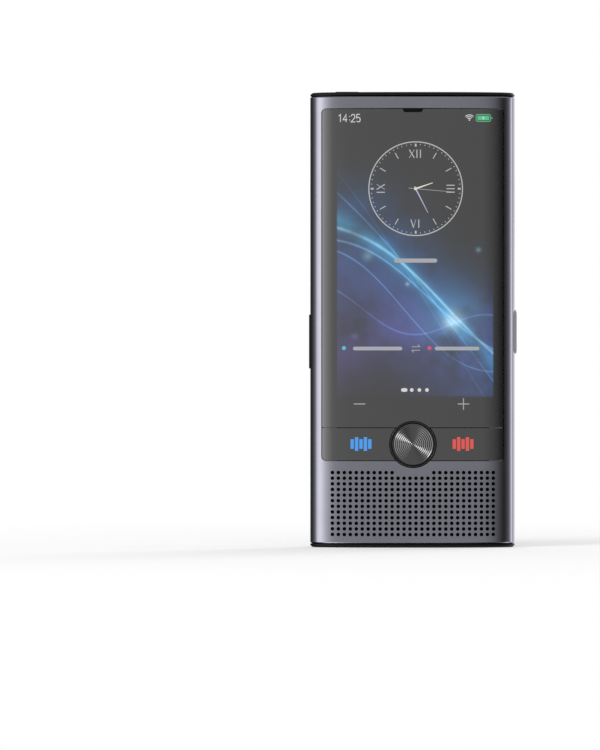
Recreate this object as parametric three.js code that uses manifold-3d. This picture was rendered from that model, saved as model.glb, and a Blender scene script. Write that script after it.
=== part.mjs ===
// A handheld translator: an oval aluminium sleeve closed by two black end caps, with a curved
// front glass, two voice keys round a button with turned ridges, a speaker grille drilled in the
// sleeve, a camera island on a dark glass panel at the back, and the works of the device inside.
// Millimetres. X runs across the front, the front looks along -Y, and Z is up.
// The origin is the middle of the flat bottom that the device stands on.
import * as THREE from 'three';
import { mergeVertices } from 'three/addons/utils/BufferGeometryUtils.js';
import Module from 'manifold-3d';

const wasm = await Module();
wasm.setup();

// Whole body: an oval section, flat enough in the middle for a screen
const bodyWidth = 50;
const bodyDepth = 11.2;
const bodyHeight = 111;
const ovalPower = 2.5;
const ovalFlatShare = 0.82;
const ovalEndSteps = 4;
const wall = 1.1;

// Clearances
const seam = 0.2;
const fit = 0.3;
const slide = 0.1;
const overrun = 3;
const mergeDistance = 0.0001;

// End caps: a rounded black plate with a hollow plug that enters the sleeve
const capBand = 0.8;
const capEdgeInset = 0.9;
const capEdgeSteps = 2;
const capPlate = 1.4;
const plugDepth = 1.6;
const plugWall = 1.2;
const plugHollowShare = 0.82;
const sleeveChamferHeight = 0.4;
const sleeveChamferInset = 0.3;

// Front window and its glass
const sideBand = 2.9;
const topBand = 4.15;
const windowCorner = 1;
const glassThickness = 0.9;
const arcSteps = 3;

// Speaker grille, cut through the front wall. Each hole has few sides and the area of its diameter.
const columnPitch = 1.452;
const rowPitch = 1.3715;
const holeRows = 12;
const holeDiameter = 0.9;
const holeSides = 4;
const lowestRow = 3.2;
const grilleSideMargin = 1.8;
const holeToRing = 2.4;

// Voice keys and the round button between them
const grilleToKeys = 2.98;
const keyHeight = 7.83;
const keyThicknessShare = 0.585;
const keyTravel = 0.25;
const keyPlungerFromSide = 12.6;
const keyPlungerDiameter = 2.4;
const ringDiameter = 11.2;
const ringWidth = 0.35;
const ringProud = 0.25;
const ringChamfer = 0.12;
const roundButtonSink = 0.1;
const roundButtonDish = 0.2;
const roundButtonRidges = 10;
const ridgeHeight = 0.12;
const roundButtonStem = 3;
const roundButtonDepthShare = 0.7;
const roundTravel = 0.35;
const domeDiameter = 4;
const domeHeight = 0.3;
const domePlay = 0.1;
const turnedSides = 24;
const smallSides = 12;

// Earpiece slot in the top edge of the glass
const earpieceTopWidth = 5.8;
const earpieceBottomWidth = 4.1;
const earpieceHeight = 0.73;
const earpieceSink = 0.1;
const receiverWidth = 12;
const receiverHeight = 2;

// Screen, frame and boards, one behind the other
const displaySideBorder = 2.2;
const displayTopBorder = 0.65;
const displayBottomBorder = 3.7;
const midframeThickness = 0.5;
const boardThickness = 0.6;
const keyBoardThickness = 0.8;
const keyBoardSideMargin = 6.5;
const lowerBoardThickness = 0.8;
const lowerBoardLap = 7.2;
const mainBoardMargin = 3.6;
const boardCorner = 1.5;

// Battery
const batterySideMargin = 8;
const batteryCorner = 2;
const batteryEndGap = 0.5;

// Back glass and camera island
const backSideBand = 4.75;
const backGlassDrop = 23.9;
const backGlassThickness = 0.6;
const islandWidth = 8.6;
const islandLength = 20.1;
const islandDrop = 2.3;
const islandCorner = 1.2;
const islandProud = 0.25;
const islandFloor = 0.4;
const upperCameraDrop = 4.2;
const flashDrop = 10.2;
const lowerCameraDrop = 15.9;
const upperLensDiameter = 5;
const lensSink = 0.1;
const flashDiameter = 4.2;
const flashLedWidth = 2.6;
const flashLedDepth = 1.1;
const lowerRingDiameter = 5.2;
const lowerRingWidth = 0.53;
const upperBarrelDiameter = 4.2;
const lowerBarrelDiameter = 3;
const cameraBodyWidth = 6.4;
const cameraBodyGap = 0.5;
const bracketThickness = 0.5;
const bracketBack = 1.6;
const bracketEdge = 1.6;

// Power button in the top cap
const powerFromSide = 9.05;
const powerLength = 6.4;
const powerWidth = 1.8;
const powerProud = 0.28;
const powerEndSlope = 0.5;
const powerFlangeEdge = 0.4;
const powerFlangeThickness = 0.5;
const powerTravel = 0.25;
const powerStemWidth = 1.2;
const powerStemLength = 0.7;

// Side keys: a dark one at the left, a light one at the right
const sideKeyWidth = 2.2;
const sideKeyFlangeEdge = 0.35;
const sideKeyFlangeEnd = 0.9;
const sideKeyFlangeThickness = 0.6;
const sideKeyTravel = 0.3;
const leftKeyLength = 13.3;
const leftKeyDrop = 54.1;
const leftKeyProud = 0.3;
const rightKeyLength = 10.6;
const rightKeyDrop = 53.1;
const rightKeyProud = 0.5;
const switchDepth = 2;
const switchLength = 4;
const switchWidth = 2.6;
const switchNub = 0.3;
const switchPlay = 0.1;

// Card tray in the right side
const trayFaceLength = 17.1;
const trayFaceWidth = 1.6;
const trayDrop = 20.3;
const trayThickness = 1;
const trayLength = 15;
const trayWidth = 11.5;
const trayStart = 1.6;
const trayFloor = 0.3;
const pinHoleDiameter = 0.9;
const pinHoleDrop = 1.9;
const cardLength = 12.3;
const cardWidth = 8.8;
const cardThickness = 0.67;
const cardCut = 1;
const socketWall = 0.3;
const socketReach = 13;

// Charging port, microphone, speaker and motor on the lower board
const portWidth = 8.94;
const portHeight = 3.16;
const portWall = 0.3;
const portDepth = 7.2;
const portSink = 0.2;
const tongueWidth = 6.7;
const tongueThickness = 0.7;
const tongueSink = 0.7;
const portBase = 1;
const microphoneAt = 9.5;
const microphoneHole = 1;
const microphoneWidth = 2.8;
const microphoneHeight = 1.1;
const speakerMeshThickness = 0.2;
const speakerFromLeft = 4.5;
const speakerFromRight = 15.5;
const speakerMeshEdge = 1;
const speakerConeMargin = 4.5;
const speakerConeWidth = 6.4;
const speakerConeThickness = 0.3;
const speakerConeBack = 1;
const motorFromSide = 10;
const motorDiameter = 7.6;
const motorThickness = 2.8;

// Shield, ribbon and screws
const shieldWidth = 16;
const shieldLength = 12.4;
const shieldDepth = 1.6;
const shieldWall = 0.3;
const shieldMargin = 0.6;
const shieldGap = 1.8;
const processorWidth = 11;
const processorThickness = 0.9;
const ribbonWidth = 1.6;
const ribbonThickness = 0.15;
const ribbonGap = 0.6;
const screwShank = 1.2;
const screwHead = 2.4;
const screwHeadHeight = 0.6;
const screwSides = 8;
const bossDiameter = 3.2;
const lowerScrewMargin = 0.2;
const lowerScrewDrop = 3;
const boardScrewInset = 2.6;
const boardScrewRise = 2;
const boardScrewDrop = 6.5;

// Places worked out from the sizes above
const halfWidth = bodyWidth / 2;
const halfDepth = bodyDepth / 2;
const sleeveBottom = capBand + slide;
const sleeveTop = bodyHeight - capBand - slide;
const glassSide = halfWidth - sideBand;
const glassTop = bodyHeight - topBand;
const topRow = lowestRow + (holeRows - 1) * rowPitch;
const keyBottom = topRow + grilleToKeys;
const keyTop = keyBottom + keyHeight;
const buttonLevel = (keyBottom + keyTop) / 2;
const glassBottom = keyTop + seam;
const ringRadius = ringDiameter / 2;
const roundButtonRadius = ringRadius - ringWidth - seam;
const displaySide = glassSide - displaySideBorder;
const displayTop = glassTop - displayTopBorder;
const displayBottom = glassBottom + displayBottomBorder;
const slotHalf = trayThickness / 2 + seam;
const socketBack = slotHalf + socketWall;
const boardBack = -socketBack;
const midframeBack = boardBack - boardThickness;
const midframeFront = midframeBack - midframeThickness;
const displayBack = midframeFront - seam;
const keyBoardFront = midframeFront - keyBoardThickness;
const domeFront = keyBoardFront - domeHeight;
const keyPlungerEnd = domeFront - keyTravel - domePlay;
const keyThickness = keyThicknessShare * (halfDepth + keyPlungerEnd);
const keyBack = midframeFront - keyTravel - seam;
const keyPlungerAt = halfWidth - keyPlungerFromSide;
const midframeBottom = buttonLevel - ringRadius - fit;
const insideBottom = sleeveBottom + plugDepth + fit;
const insideTop = sleeveTop - plugDepth - fit;
const islandTop = bodyHeight - islandDrop;
const islandBottom = islandTop - islandLength;
const islandBase = halfDepth - wall + islandFloor;
const islandFace = halfDepth + islandProud;
const lensFace = islandFace - lensSink;
const upperCameraLevel = islandTop - upperCameraDrop;
const flashLevel = islandTop - flashDrop;
const lowerCameraLevel = islandTop - lowerCameraDrop;
const trayTop = bodyHeight - trayDrop;
const trayBottom = trayTop - trayFaceLength;
const trayLevel = trayBottom + trayStart + trayWidth / 2;
const trayEnd = halfWidth - wall - trayLength;
const mainBoardBottom = trayBottom - mainBoardMargin;
const batterySide = halfWidth - batterySideMargin;
const shieldMiddle = shieldMargin + shieldWidth / 2 - displaySide;
const shieldLevel = lowerCameraLevel - (cameraBodyWidth + shieldLength) / 2 - shieldGap;
const lowerBoardFront = portHeight / 2;
const lowerBoardBack = lowerBoardFront + lowerBoardThickness;
const lowerBoardTop = midframeBottom + lowerBoardLap;
const lowerScrewLevel = lowerBoardTop - lowerScrewDrop;
const portTop = portSink + portDepth;
const speakerInset = wall + fit + speakerMeshThickness + fit;
const speakerBottom = portTop + 2 * fit;
const speakerTop = midframeBottom - fit;
const speakerLevel = (speakerBottom + speakerTop) / 2;
const speakerLeft = speakerFromLeft - halfWidth;
const speakerRight = halfWidth - speakerFromRight;
const speakerMiddle = (speakerLeft + speakerRight) / 2;
const speakerConeLength = speakerRight - speakerLeft - 2 * speakerConeMargin;
const powerCentre = powerFromSide - halfWidth;

// Half the depth of the oval at a place across it, and half its width at a depth
function ovalHalfDepth(inset, across) {
  const share = Math.abs(across) / (halfWidth - inset);
  return (halfDepth - inset) * (1 - share ** ovalPower) ** (1 / ovalPower);
}

function ovalHalfWidth(inset, depth) {
  const share = Math.abs(depth) / (halfDepth - inset);
  return (halfWidth - inset) * (1 - share ** ovalPower) ** (1 / ovalPower);
}

// The oval as a closed outline, counter-clockwise. The front and the back have a point midway
// between every second pair of hole columns, so that no hole crosses an edge of the wall.
function ovalPoints(inset) {
  const step = 2 * columnPitch;
  const count = Math.floor((ovalFlatShare * halfWidth) / step);
  const endAngle = Math.acos(((count * step) / (halfWidth - inset)) ** (ovalPower / 2));
  const points = [];
  for (const side of [-1, 1]) {
    for (let i = -count; i <= count; i += 1) {
      const x = -side * i * step;
      points.push(new THREE.Vector2(x, side * ovalHalfDepth(inset, x)));
    }
    for (let i = 1; i < 2 * ovalEndSteps; i += 1) {
      const angle = endAngle * (1 - i / ovalEndSteps);
      const x = (halfWidth - inset) * Math.cos(angle) ** (2 / ovalPower);
      const y = (halfDepth - inset) * Math.sign(angle) * Math.abs(Math.sin(angle)) ** (2 / ovalPower);
      points.push(new THREE.Vector2(-side * x, side * y));
    }
  }
  return points;
}

// A closed geometry as a solid, and a solid as a geometry
function solidOf(geometry) {
  const bare = geometry.clone();
  bare.deleteAttribute('normal');
  bare.deleteAttribute('uv');
  const merged = mergeVertices(bare, mergeDistance);
  return new wasm.Manifold(new wasm.Mesh({
    numProp: 3,
    vertProperties: merged.attributes.position.array,
    triVerts: Uint32Array.from(merged.index.array),
  }));
}

function geometryOf(solid) {
  const mesh = solid.getMesh();
  const geometry = new THREE.BufferGeometry();
  geometry.setAttribute('position', new THREE.Float32BufferAttribute(mesh.vertProperties, 3));
  geometry.setIndex(new THREE.Uint32BufferAttribute(mesh.triVerts, 1));
  geometry.computeVertexNormals();
  return geometry;
}

// Prisms: an outline in XY raised along Z, one in XZ along Y, and one in YZ along X
function extrusion(shape, length) {
  return new THREE.ExtrudeGeometry(shape, { depth: length, bevelEnabled: false, curveSegments: arcSteps });
}

function prismZ(shape, bottom, top) {
  return solidOf(extrusion(shape, top - bottom).translate(0, 0, bottom));
}

function prismY(shape, front, back) {
  return solidOf(extrusion(shape, back - front).rotateX(Math.PI / 2).translate(0, back, 0));
}

function prismX(shape, left, right) {
  const prism = extrusion(shape, right - left).rotateX(Math.PI / 2).rotateZ(Math.PI / 2);
  return solidOf(prism.translate(left, 0, 0));
}

function box(left, right, front, back, bottom, top) {
  const geometry = new THREE.BoxGeometry(right - left, back - front, top - bottom);
  return solidOf(geometry.translate((left + right) / 2, (front + back) / 2, (bottom + top) / 2));
}

function oval(inset, bottom, top) {
  return prismZ(new THREE.Shape(ovalPoints(inset)), bottom, top);
}

// A disc or drum along Y, with its middle at x and z
function drum(radius, x, z, front, back, sides) {
  const geometry = new THREE.CylinderGeometry(radius, radius, back - front, sides);
  return solidOf(geometry.translate(x, (front + back) / 2, z));
}

// A turned piece about the Y axis. Its profile is pairs of radius and y, running backwards on the outside.
function turned(profile, sides) {
  const points = profile.map(([radius, y]) => new THREE.Vector2(radius, y));
  return solidOf(new THREE.LatheGeometry(points, sides));
}

// Outlines
function roundedRect(left, right, bottom, top, radius) {
  const shape = new THREE.Shape();
  shape.moveTo(left + radius, bottom);
  shape.lineTo(right - radius, bottom);
  shape.absarc(right - radius, bottom + radius, radius, -Math.PI / 2, 0, false);
  shape.lineTo(right, top - radius);
  shape.absarc(right - radius, top - radius, radius, 0, Math.PI / 2, false);
  shape.lineTo(left + radius, top);
  shape.absarc(left + radius, top - radius, radius, Math.PI / 2, Math.PI, false);
  shape.lineTo(left, bottom + radius);
  shape.absarc(left + radius, bottom + radius, radius, Math.PI, Math.PI * 1.5, false);
  return shape;
}

// A slot with round ends, long along the first axis of its plane or along the second
function flatSlot(middle, level, length, width) {
  const radius = width / 2;
  const reach = length / 2 - radius;
  const shape = new THREE.Shape();
  shape.moveTo(middle - reach, level - radius);
  shape.lineTo(middle + reach, level - radius);
  shape.absarc(middle + reach, level, radius, -Math.PI / 2, Math.PI / 2, false);
  shape.lineTo(middle - reach, level + radius);
  shape.absarc(middle - reach, level, radius, Math.PI / 2, Math.PI * 1.5, false);
  return shape;
}

function uprightSlot(middle, level, length, width) {
  const radius = width / 2;
  const reach = length / 2 - radius;
  const shape = new THREE.Shape();
  shape.moveTo(middle + radius, level - reach);
  shape.lineTo(middle + radius, level + reach);
  shape.absarc(middle, level + reach, radius, 0, Math.PI, false);
  shape.lineTo(middle - radius, level - reach);
  shape.absarc(middle, level - reach, radius, Math.PI, Math.PI * 2, false);
  return shape;
}

// Each piece: a named mesh with a material of its own
function piece(name, solid, color, roughness, metalness) {
  const material = new THREE.MeshStandardMaterial({ color, roughness, metalness });
  const mesh = new THREE.Mesh(geometryOf(solid), material);
  mesh.name = name;
  return mesh;
}

// Sleeve: an oval tube with chamfered ends
function plainSleeve() {
  const middle = sleeveTop - sleeveBottom - 2 * sleeveChamferHeight;
  const outside = new THREE.ExtrudeGeometry(new THREE.Shape(ovalPoints(0)), {
    depth: middle,
    bevelThickness: sleeveChamferHeight,
    bevelSize: sleeveChamferInset,
    bevelOffset: -sleeveChamferInset,
    bevelSegments: 1,
  });
  outside.translate(0, 0, sleeveBottom + sleeveChamferHeight);
  return solidOf(outside).subtract(oval(wall, -overrun, bodyHeight + overrun));
}

// Front window: the glass and keys together, with a bulge for the ring of the round button
function frontWindow() {
  const outline = roundedRect(
    -glassSide - seam,
    glassSide + seam,
    keyBottom - seam,
    glassTop + seam,
    windowCorner + seam,
  );
  const ring = drum(ringRadius + seam, 0, buttonLevel, -bodyDepth, 0, turnedSides);
  return prismY(outline, -bodyDepth, 0).add(ring);
}

// Places of the grille holes: full rows, less those that would run into the ring
function grillePlaces() {
  const room = 2 * (glassSide - grilleSideMargin) + columnPitch;
  const columns = 2 * Math.floor(room / (2 * columnPitch));
  const places = [];
  for (let row = 0; row < holeRows; row += 1) {
    for (let column = 0; column < columns; column += 1) {
      const x = (column - (columns - 1) / 2) * columnPitch;
      const z = lowestRow + row * rowPitch;
      if (Math.hypot(x, z - buttonLevel) > ringRadius + holeToRing) {
        places.push([x, z]);
      }
    }
  }
  return places;
}

function grilleDrills() {
  const turn = Math.PI / holeSides;
  const radius = (holeDiameter / 2) * Math.sqrt(turn / (Math.sin(turn) * Math.cos(turn)));
  const drills = grillePlaces().map(([x, z]) => {
    const drill = new THREE.CylinderGeometry(radius, radius, bodyDepth, holeSides, 1, false, turn);
    return solidOf(drill.translate(x, -halfDepth, z));
  });
  return drills.reduce((all, drill) => all.add(drill));
}

// Recess for the back glass, a flat pocket for the island, and the holes behind the lenses
function backCuts() {
  const side = halfWidth - backSideBand;
  const bottom = bodyHeight - backGlassDrop;
  const panel = roundedRect(
    -side - seam,
    side + seam,
    bottom - seam,
    bodyHeight + overrun,
    windowCorner + seam,
  );
  const floor = oval(backGlassThickness + slide, 0, bodyHeight + overrun);
  const recess = prismY(panel, 0, bodyDepth).subtract(floor);
  const island = islandOutline(seam);
  const pocket = prismY(island, islandBase, bodyDepth);
  const upper = drum(upperBarrelDiameter / 2 + slide, 0, upperCameraLevel, 0, bodyDepth, smallSides);
  const lower = drum(lowerBarrelDiameter / 2 + slide, 0, lowerCameraLevel, 0, bodyDepth, smallSides);
  const flash = drum(flashDiameter / 2 - seam, 0, flashLevel, 0, bodyDepth, smallSides);
  return recess.add(pocket).add(upper).add(lower).add(flash);
}

function islandOutline(gap) {
  const side = islandWidth / 2 + gap;
  return roundedRect(-side, side, islandBottom - gap, islandTop + gap, islandCorner + gap);
}

function sideKeySlot(side, drop, length) {
  const level = bodyHeight - drop - length / 2;
  const outline = uprightSlot(0, level, length + 2 * seam, sideKeyWidth + 2 * seam);
  return side < 0 ? prismX(outline, -bodyWidth, 0) : prismX(outline, 0, bodyWidth);
}

function housingSleeve() {
  const traySlot = uprightSlot(
    0,
    (trayTop + trayBottom) / 2,
    trayFaceLength + 2 * slide,
    trayFaceWidth + 2 * slide,
  );
  const solid = plainSleeve()
    .subtract(frontWindow())
    .subtract(backCuts())
    .subtract(sideKeySlot(-1, leftKeyDrop, leftKeyLength))
    .subtract(sideKeySlot(1, rightKeyDrop, rightKeyLength))
    .subtract(prismX(traySlot, 0, bodyWidth))
    .subtract(grilleDrills());
  return piece('housing_sleeve', solid, 0x74767e, 0.34, 1);
}

// End cap: a rounded plate with a hollow plug, drawn as the bottom one
function plainCap() {
  const plate = new THREE.ExtrudeGeometry(new THREE.Shape(ovalPoints(0)), {
    depth: capBand,
    bevelThickness: capBand,
    bevelSize: capEdgeInset,
    bevelOffset: -capEdgeInset,
    bevelSegments: capEdgeSteps,
  });
  const rounded = solidOf(plate.translate(0, 0, capBand));
  const kept = box(-bodyWidth, bodyWidth, -bodyDepth, bodyDepth, -overrun, capBand);
  const plug = oval(wall + slide, capBand / 2, capBand + plugDepth);
  const edge = ovalHalfDepth(wall + slide + plugWall, plugHollowShare * halfWidth);
  const side = plugHollowShare * halfWidth;
  const hollow = prismZ(roundedRect(-side, side, -edge, edge, windowCorner), capPlate, bodyHeight);
  return rounded.intersect(kept).add(plug).subtract(hollow);
}

function bottomCap() {
  const opening = flatSlot(0, 0, portWidth + 2 * slide, portHeight + 2 * slide);
  const mouth = prismZ(opening, -overrun, insideBottom);
  const radius = microphoneHole / 2;
  const hole = new THREE.CylinderGeometry(radius, radius, bodyDepth, smallSides);
  const level = lowerBoardFront - microphoneHeight / 2;
  const drill = solidOf(hole.rotateX(Math.PI / 2).translate(microphoneAt, level, 0));
  return piece('bottom_cap', plainCap().subtract(mouth).subtract(drill), 0x141416, 0.3, 0);
}

function powerOutline(middle, gap) {
  const side = powerLength / 2 + gap;
  const edge = powerWidth / 2 + gap;
  return roundedRect(middle - side, middle + side, -edge, edge, edge / 2);
}

function topCap() {
  const slot = prismZ(powerOutline(-powerCentre, seam), -overrun, insideBottom);
  const mesh = piece('top_cap', plainCap().subtract(slot), 0x141416, 0.3, 0);
  mesh.rotation.y = Math.PI;
  mesh.position.z = bodyHeight;
  return mesh;
}

// Front glass: a curved plate cut round the ring, with a slot for the earpiece
function earpieceOutline(gap, top) {
  const shape = new THREE.Shape();
  shape.moveTo(-earpieceBottomWidth / 2 - gap, glassTop - earpieceHeight - gap);
  shape.lineTo(earpieceBottomWidth / 2 + gap, glassTop - earpieceHeight - gap);
  shape.lineTo(earpieceTopWidth / 2 + gap, top);
  shape.lineTo(-earpieceTopWidth / 2 - gap, top);
  return shape;
}

function curvedPlate(outline, thickness) {
  const shell = oval(0, 0, bodyHeight).subtract(oval(thickness, -overrun, bodyHeight + overrun));
  return shell.intersect(prismY(outline, -bodyDepth, 0));
}

function ringClearance(gap) {
  return drum(ringRadius + gap, 0, buttonLevel, -bodyDepth, 0, turnedSides);
}

function frontGlass() {
  const outline = roundedRect(-glassSide, glassSide, glassBottom, glassTop, windowCorner);
  const slot = prismY(earpieceOutline(slide, glassTop + slide), -bodyDepth, 0);
  const solid = curvedPlate(outline, glassThickness).subtract(ringClearance(slide)).subtract(slot);
  return piece('front_glass', solid, 0x0b0b0d, 0.06, 0);
}

function earpieceMesh() {
  const plate = prismY(earpieceOutline(0, glassTop), -bodyDepth, 0);
  const inside = oval(glassThickness, -overrun, bodyHeight + overrun);
  const shell = oval(earpieceSink, 0, bodyHeight).subtract(inside);
  return piece('earpiece_mesh', shell.intersect(plate), 0x050506, 0.7, 0.2);
}

// Voice keys: curved like the glass, each with a plunger over its dome
function voiceKey(name, side) {
  const outline = roundedRect(-glassSide, glassSide, keyBottom, keyTop, windowCorner);
  const left = side < 0 ? -bodyWidth : 0;
  const half = box(left, left + bodyWidth, -bodyDepth, keyBack, 0, bodyHeight);
  const at = side * keyPlungerAt;
  const start = keyThickness / 2 - ovalHalfDepth(0, at);
  const plunger = drum(keyPlungerDiameter / 2, at, buttonLevel, start, keyPlungerEnd, smallSides);
  const plate = curvedPlate(outline, keyThickness).intersect(half).subtract(ringClearance(seam));
  return piece(name, plate.add(plunger), 0x1a1a1d, 0.2, 0);
}

// Ring and round button, turned about the button's own axis
function buttonRing() {
  const inner = ringRadius - ringWidth;
  const face = -halfDepth - ringProud;
  const profile = [
    [inner, keyBoardFront],
    [inner, face + ringChamfer],
    [inner + ringChamfer, face],
    [ringRadius - ringChamfer, face],
    [ringRadius, face + ringChamfer],
    [ringRadius, keyBoardFront],
    [inner, keyBoardFront],
  ];
  const mesh = piece('button_ring', turned(profile, turnedSides), 0x0c0c0e, 0.15, 0.6);
  mesh.position.z = buttonLevel;
  return mesh;
}

function roundButton() {
  const rim = roundButtonSink - halfDepth;
  const stemEnd = domeFront - roundTravel - domePlay;
  const back = rim + roundButtonDepthShare * (stemEnd - rim);
  const pitch = roundButtonRadius / (roundButtonRidges + 1);
  const profile = [[0, rim + roundButtonDish + ridgeHeight]];
  for (let ridge = 1; ridge <= roundButtonRidges; ridge += 1) {
    const dish = roundButtonDish * (1 - (ridge / roundButtonRidges) ** 2);
    profile.push([ridge * pitch - pitch / 2, rim + dish]);
    profile.push([ridge * pitch, rim + dish + ridgeHeight]);
  }
  profile.push(
    [roundButtonRadius, rim],
    [roundButtonRadius, back],
    [roundButtonStem / 2, back],
    [roundButtonStem / 2, stemEnd],
    [0, stemEnd],
  );
  const mesh = piece('round_button', turned(profile, turnedSides), 0x3c3d42, 0.35, 1);
  mesh.position.z = buttonLevel;
  return mesh;
}

// Key board, with a dome under each key
function keyBoard() {
  const side = halfWidth - keyBoardSideMargin;
  const reach = ringRadius + fit;
  const outline = roundedRect(-side, side, -reach, reach, boardCorner);
  const mesh = piece('key_board', prismY(outline, keyBoardFront, midframeFront), 0x1d5a3a, 0.5, 0.1);
  mesh.position.z = buttonLevel;
  return mesh;
}

function keyDome(name, at) {
  const dome = new THREE.CylinderGeometry(domeDiameter / 2, domeDiameter / 4, domeHeight, smallSides);
  const mesh = piece(name, solidOf(dome), 0xc8ccd0, 0.3, 1);
  mesh.position.set(at, (domeFront + keyBoardFront) / 2, buttonLevel);
  return mesh;
}

// Screen module: curved in front to lie under the glass, flat behind
function displayModule() {
  const outline = roundedRect(-displaySide, displaySide, displayBottom, displayTop, windowCorner);
  const block = prismY(outline, -bodyDepth, displayBack);
  const solid = oval(glassThickness + fit, 0, bodyHeight).intersect(block);
  return piece('display_module', solid, 0x15171c, 0.3, 0.2);
}

function earpieceReceiver() {
  const side = receiverWidth / 2;
  const bottom = displayTop + seam;
  const front = -ovalHalfDepth(wall + fit, side);
  const solid = box(-side, side, front, midframeFront, bottom, bottom + receiverHeight - seam);
  return piece('earpiece_receiver', solid, 0x2b2c30, 0.5, 0.3);
}

// Screws: the main board has four, the lower board two
function boardScrewPlaces() {
  const side = displaySide - boardScrewInset;
  const low = mainBoardBottom + boardScrewRise;
  const high = insideTop - boardScrewDrop;
  return [[-side, low], [side, low], [-side, high], [side, high]];
}

function lowerScrewPlaces() {
  const room = ovalHalfWidth(wall + fit, lowerBoardBack + screwHeadHeight);
  const side = room - screwHead / 2 - lowerScrewMargin;
  return [[-side, lowerScrewLevel], [side, lowerScrewLevel]];
}

function screwHoles(places) {
  const radius = screwShank / 2 + slide;
  const holes = places.map(([x, z]) => drum(radius, x, z, -bodyDepth, bodyDepth, screwSides));
  return holes.reduce((all, hole) => all.add(hole));
}

function screw(name, place, seat, length) {
  const profile = [
    [0, -length],
    [screwShank / 2, -length],
    [screwShank / 2, 0],
    [screwHead / 2, 0],
    [screwHead / 2, screwHeadHeight],
    [0, screwHeadHeight],
  ];
  const mesh = piece(name, turned(profile, screwSides), 0xb9bcc2, 0.35, 1);
  mesh.position.set(place[0], seat, place[1]);
  return mesh;
}

// Midframe: the plate that carries the screen, the boards and the battery, with a boss for each
// lower screw
function midframe() {
  const slab = box(-bodyWidth, bodyWidth, midframeFront, midframeBack, midframeBottom, insideTop);
  const plate = oval(wall + fit, midframeBottom, insideTop).intersect(slab);
  const bosses = lowerScrewPlaces().map(([x, z]) => {
    return drum(bossDiameter / 2, x, z, midframeFront, lowerBoardFront, smallSides);
  });
  const solid = bosses
    .reduce((all, boss) => all.add(boss), plate)
    .subtract(screwHoles([...lowerScrewPlaces(), ...boardScrewPlaces()]));
  return piece('midframe', solid, 0x8c9097, 0.45, 1);
}

function mainBoard() {
  const outline = roundedRect(-displaySide, displaySide, mainBoardBottom, insideTop, boardCorner);
  const solid = prismY(outline, midframeBack, boardBack).subtract(screwHoles(boardScrewPlaces()));
  return piece('main_board', solid, 0x1d5a3a, 0.5, 0.1);
}

function lowerBoard() {
  const slab = box(-bodyWidth, bodyWidth, lowerBoardFront, lowerBoardBack, insideBottom, lowerBoardTop);
  const solid = oval(wall + fit, insideBottom, lowerBoardTop).intersect(slab);
  return piece('lower_board', solid.subtract(screwHoles(lowerScrewPlaces())), 0x1d5a3a, 0.5, 0.1);
}

function battery() {
  const bottom = lowerBoardTop + batteryEndGap;
  const top = mainBoardBottom - batteryEndGap;
  const outline = roundedRect(-batterySide, batterySide, bottom, top, batteryCorner);
  const solid = prismY(outline, midframeBack, ovalHalfDepth(wall + fit, batterySide));
  return piece('battery', solid, 0x3a3d45, 0.4, 0.4);
}

// Ribbon beside the battery, from the main board down to the lower board
function boardRibbon() {
  const low = lowerBoardTop + seam;
  const top = mainBoardBottom - slide;
  const shape = new THREE.Shape();
  shape.moveTo(midframeBack, low);
  shape.lineTo(lowerBoardBack, low);
  shape.lineTo(lowerBoardBack, low + ribbonThickness);
  shape.lineTo(midframeBack + ribbonThickness, low + ribbonThickness);
  shape.lineTo(midframeBack + ribbonThickness, top);
  shape.lineTo(midframeBack, top);
  const left = batterySide + ribbonGap;
  const solid = prismX(shape, left, left + ribbonWidth);
  return piece('board_ribbon', solid, 0xb5772e, 0.5, 0.2);
}

// Shield can, open towards the board, over the processor
function shieldCan() {
  const side = shieldWidth / 2;
  const half = shieldLength / 2;
  const solid = box(-side, side, 0, shieldDepth, -half, half).subtract(box(
    shieldWall - side,
    side - shieldWall,
    -overrun,
    shieldDepth - shieldWall,
    shieldWall - half,
    half - shieldWall,
  ));
  const mesh = piece('shield_can', solid, 0xb0b4ba, 0.35, 1);
  mesh.position.set(shieldMiddle, boardBack, shieldLevel);
  return mesh;
}

function processor() {
  const half = processorWidth / 2;
  const mesh = piece('processor', box(-half, half, 0, processorThickness, -half, half), 0x1b1b1e, 0.5, 0);
  mesh.position.set(shieldMiddle, boardBack, shieldLevel);
  return mesh;
}

// Back glass and the camera island that stands a little proud of it
function backGlass() {
  const side = halfWidth - backSideBand;
  const outline = roundedRect(-side, side, bodyHeight - backGlassDrop, bodyHeight + overrun, windowCorner);
  const island = prismY(islandOutline(seam), 0, bodyDepth);
  const solid = oval(0, 0, sleeveTop)
    .subtract(oval(backGlassThickness, -overrun, bodyHeight + overrun))
    .intersect(prismY(outline, 0, bodyDepth))
    .subtract(island);
  return piece('back_glass', solid, 0x1b1b1f, 0.08, 0);
}

function cameraPlate() {
  const holes = [
    [upperLensDiameter, upperCameraLevel],
    [flashDiameter, flashLevel],
    [lowerRingDiameter, lowerCameraLevel],
  ];
  let solid = prismY(islandOutline(0), islandBase, islandFace);
  for (const [diameter, level] of holes) {
    solid = solid.subtract(drum(diameter / 2 + slide, 0, level, 0, bodyDepth, turnedSides));
  }
  return piece('camera_plate', solid, 0x25262a, 0.3, 0.3);
}

function lens(name, diameter, level, color) {
  const disc = drum(diameter / 2, 0, 0, islandBase, lensFace, turnedSides);
  const mesh = piece(name, disc, color, 0.08, 0);
  mesh.position.z = level;
  return mesh;
}

function lowerCameraRing() {
  const outer = drum(lowerRingDiameter / 2, 0, 0, islandBase, islandFace, turnedSides);
  const inner = drum(lowerRingDiameter / 2 - lowerRingWidth, 0, 0, 0, bodyDepth, turnedSides);
  const mesh = piece('lower_camera_ring', outer.subtract(inner), 0xc9ccd2, 0.25, 1);
  mesh.position.z = lowerCameraLevel;
  return mesh;
}

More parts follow.
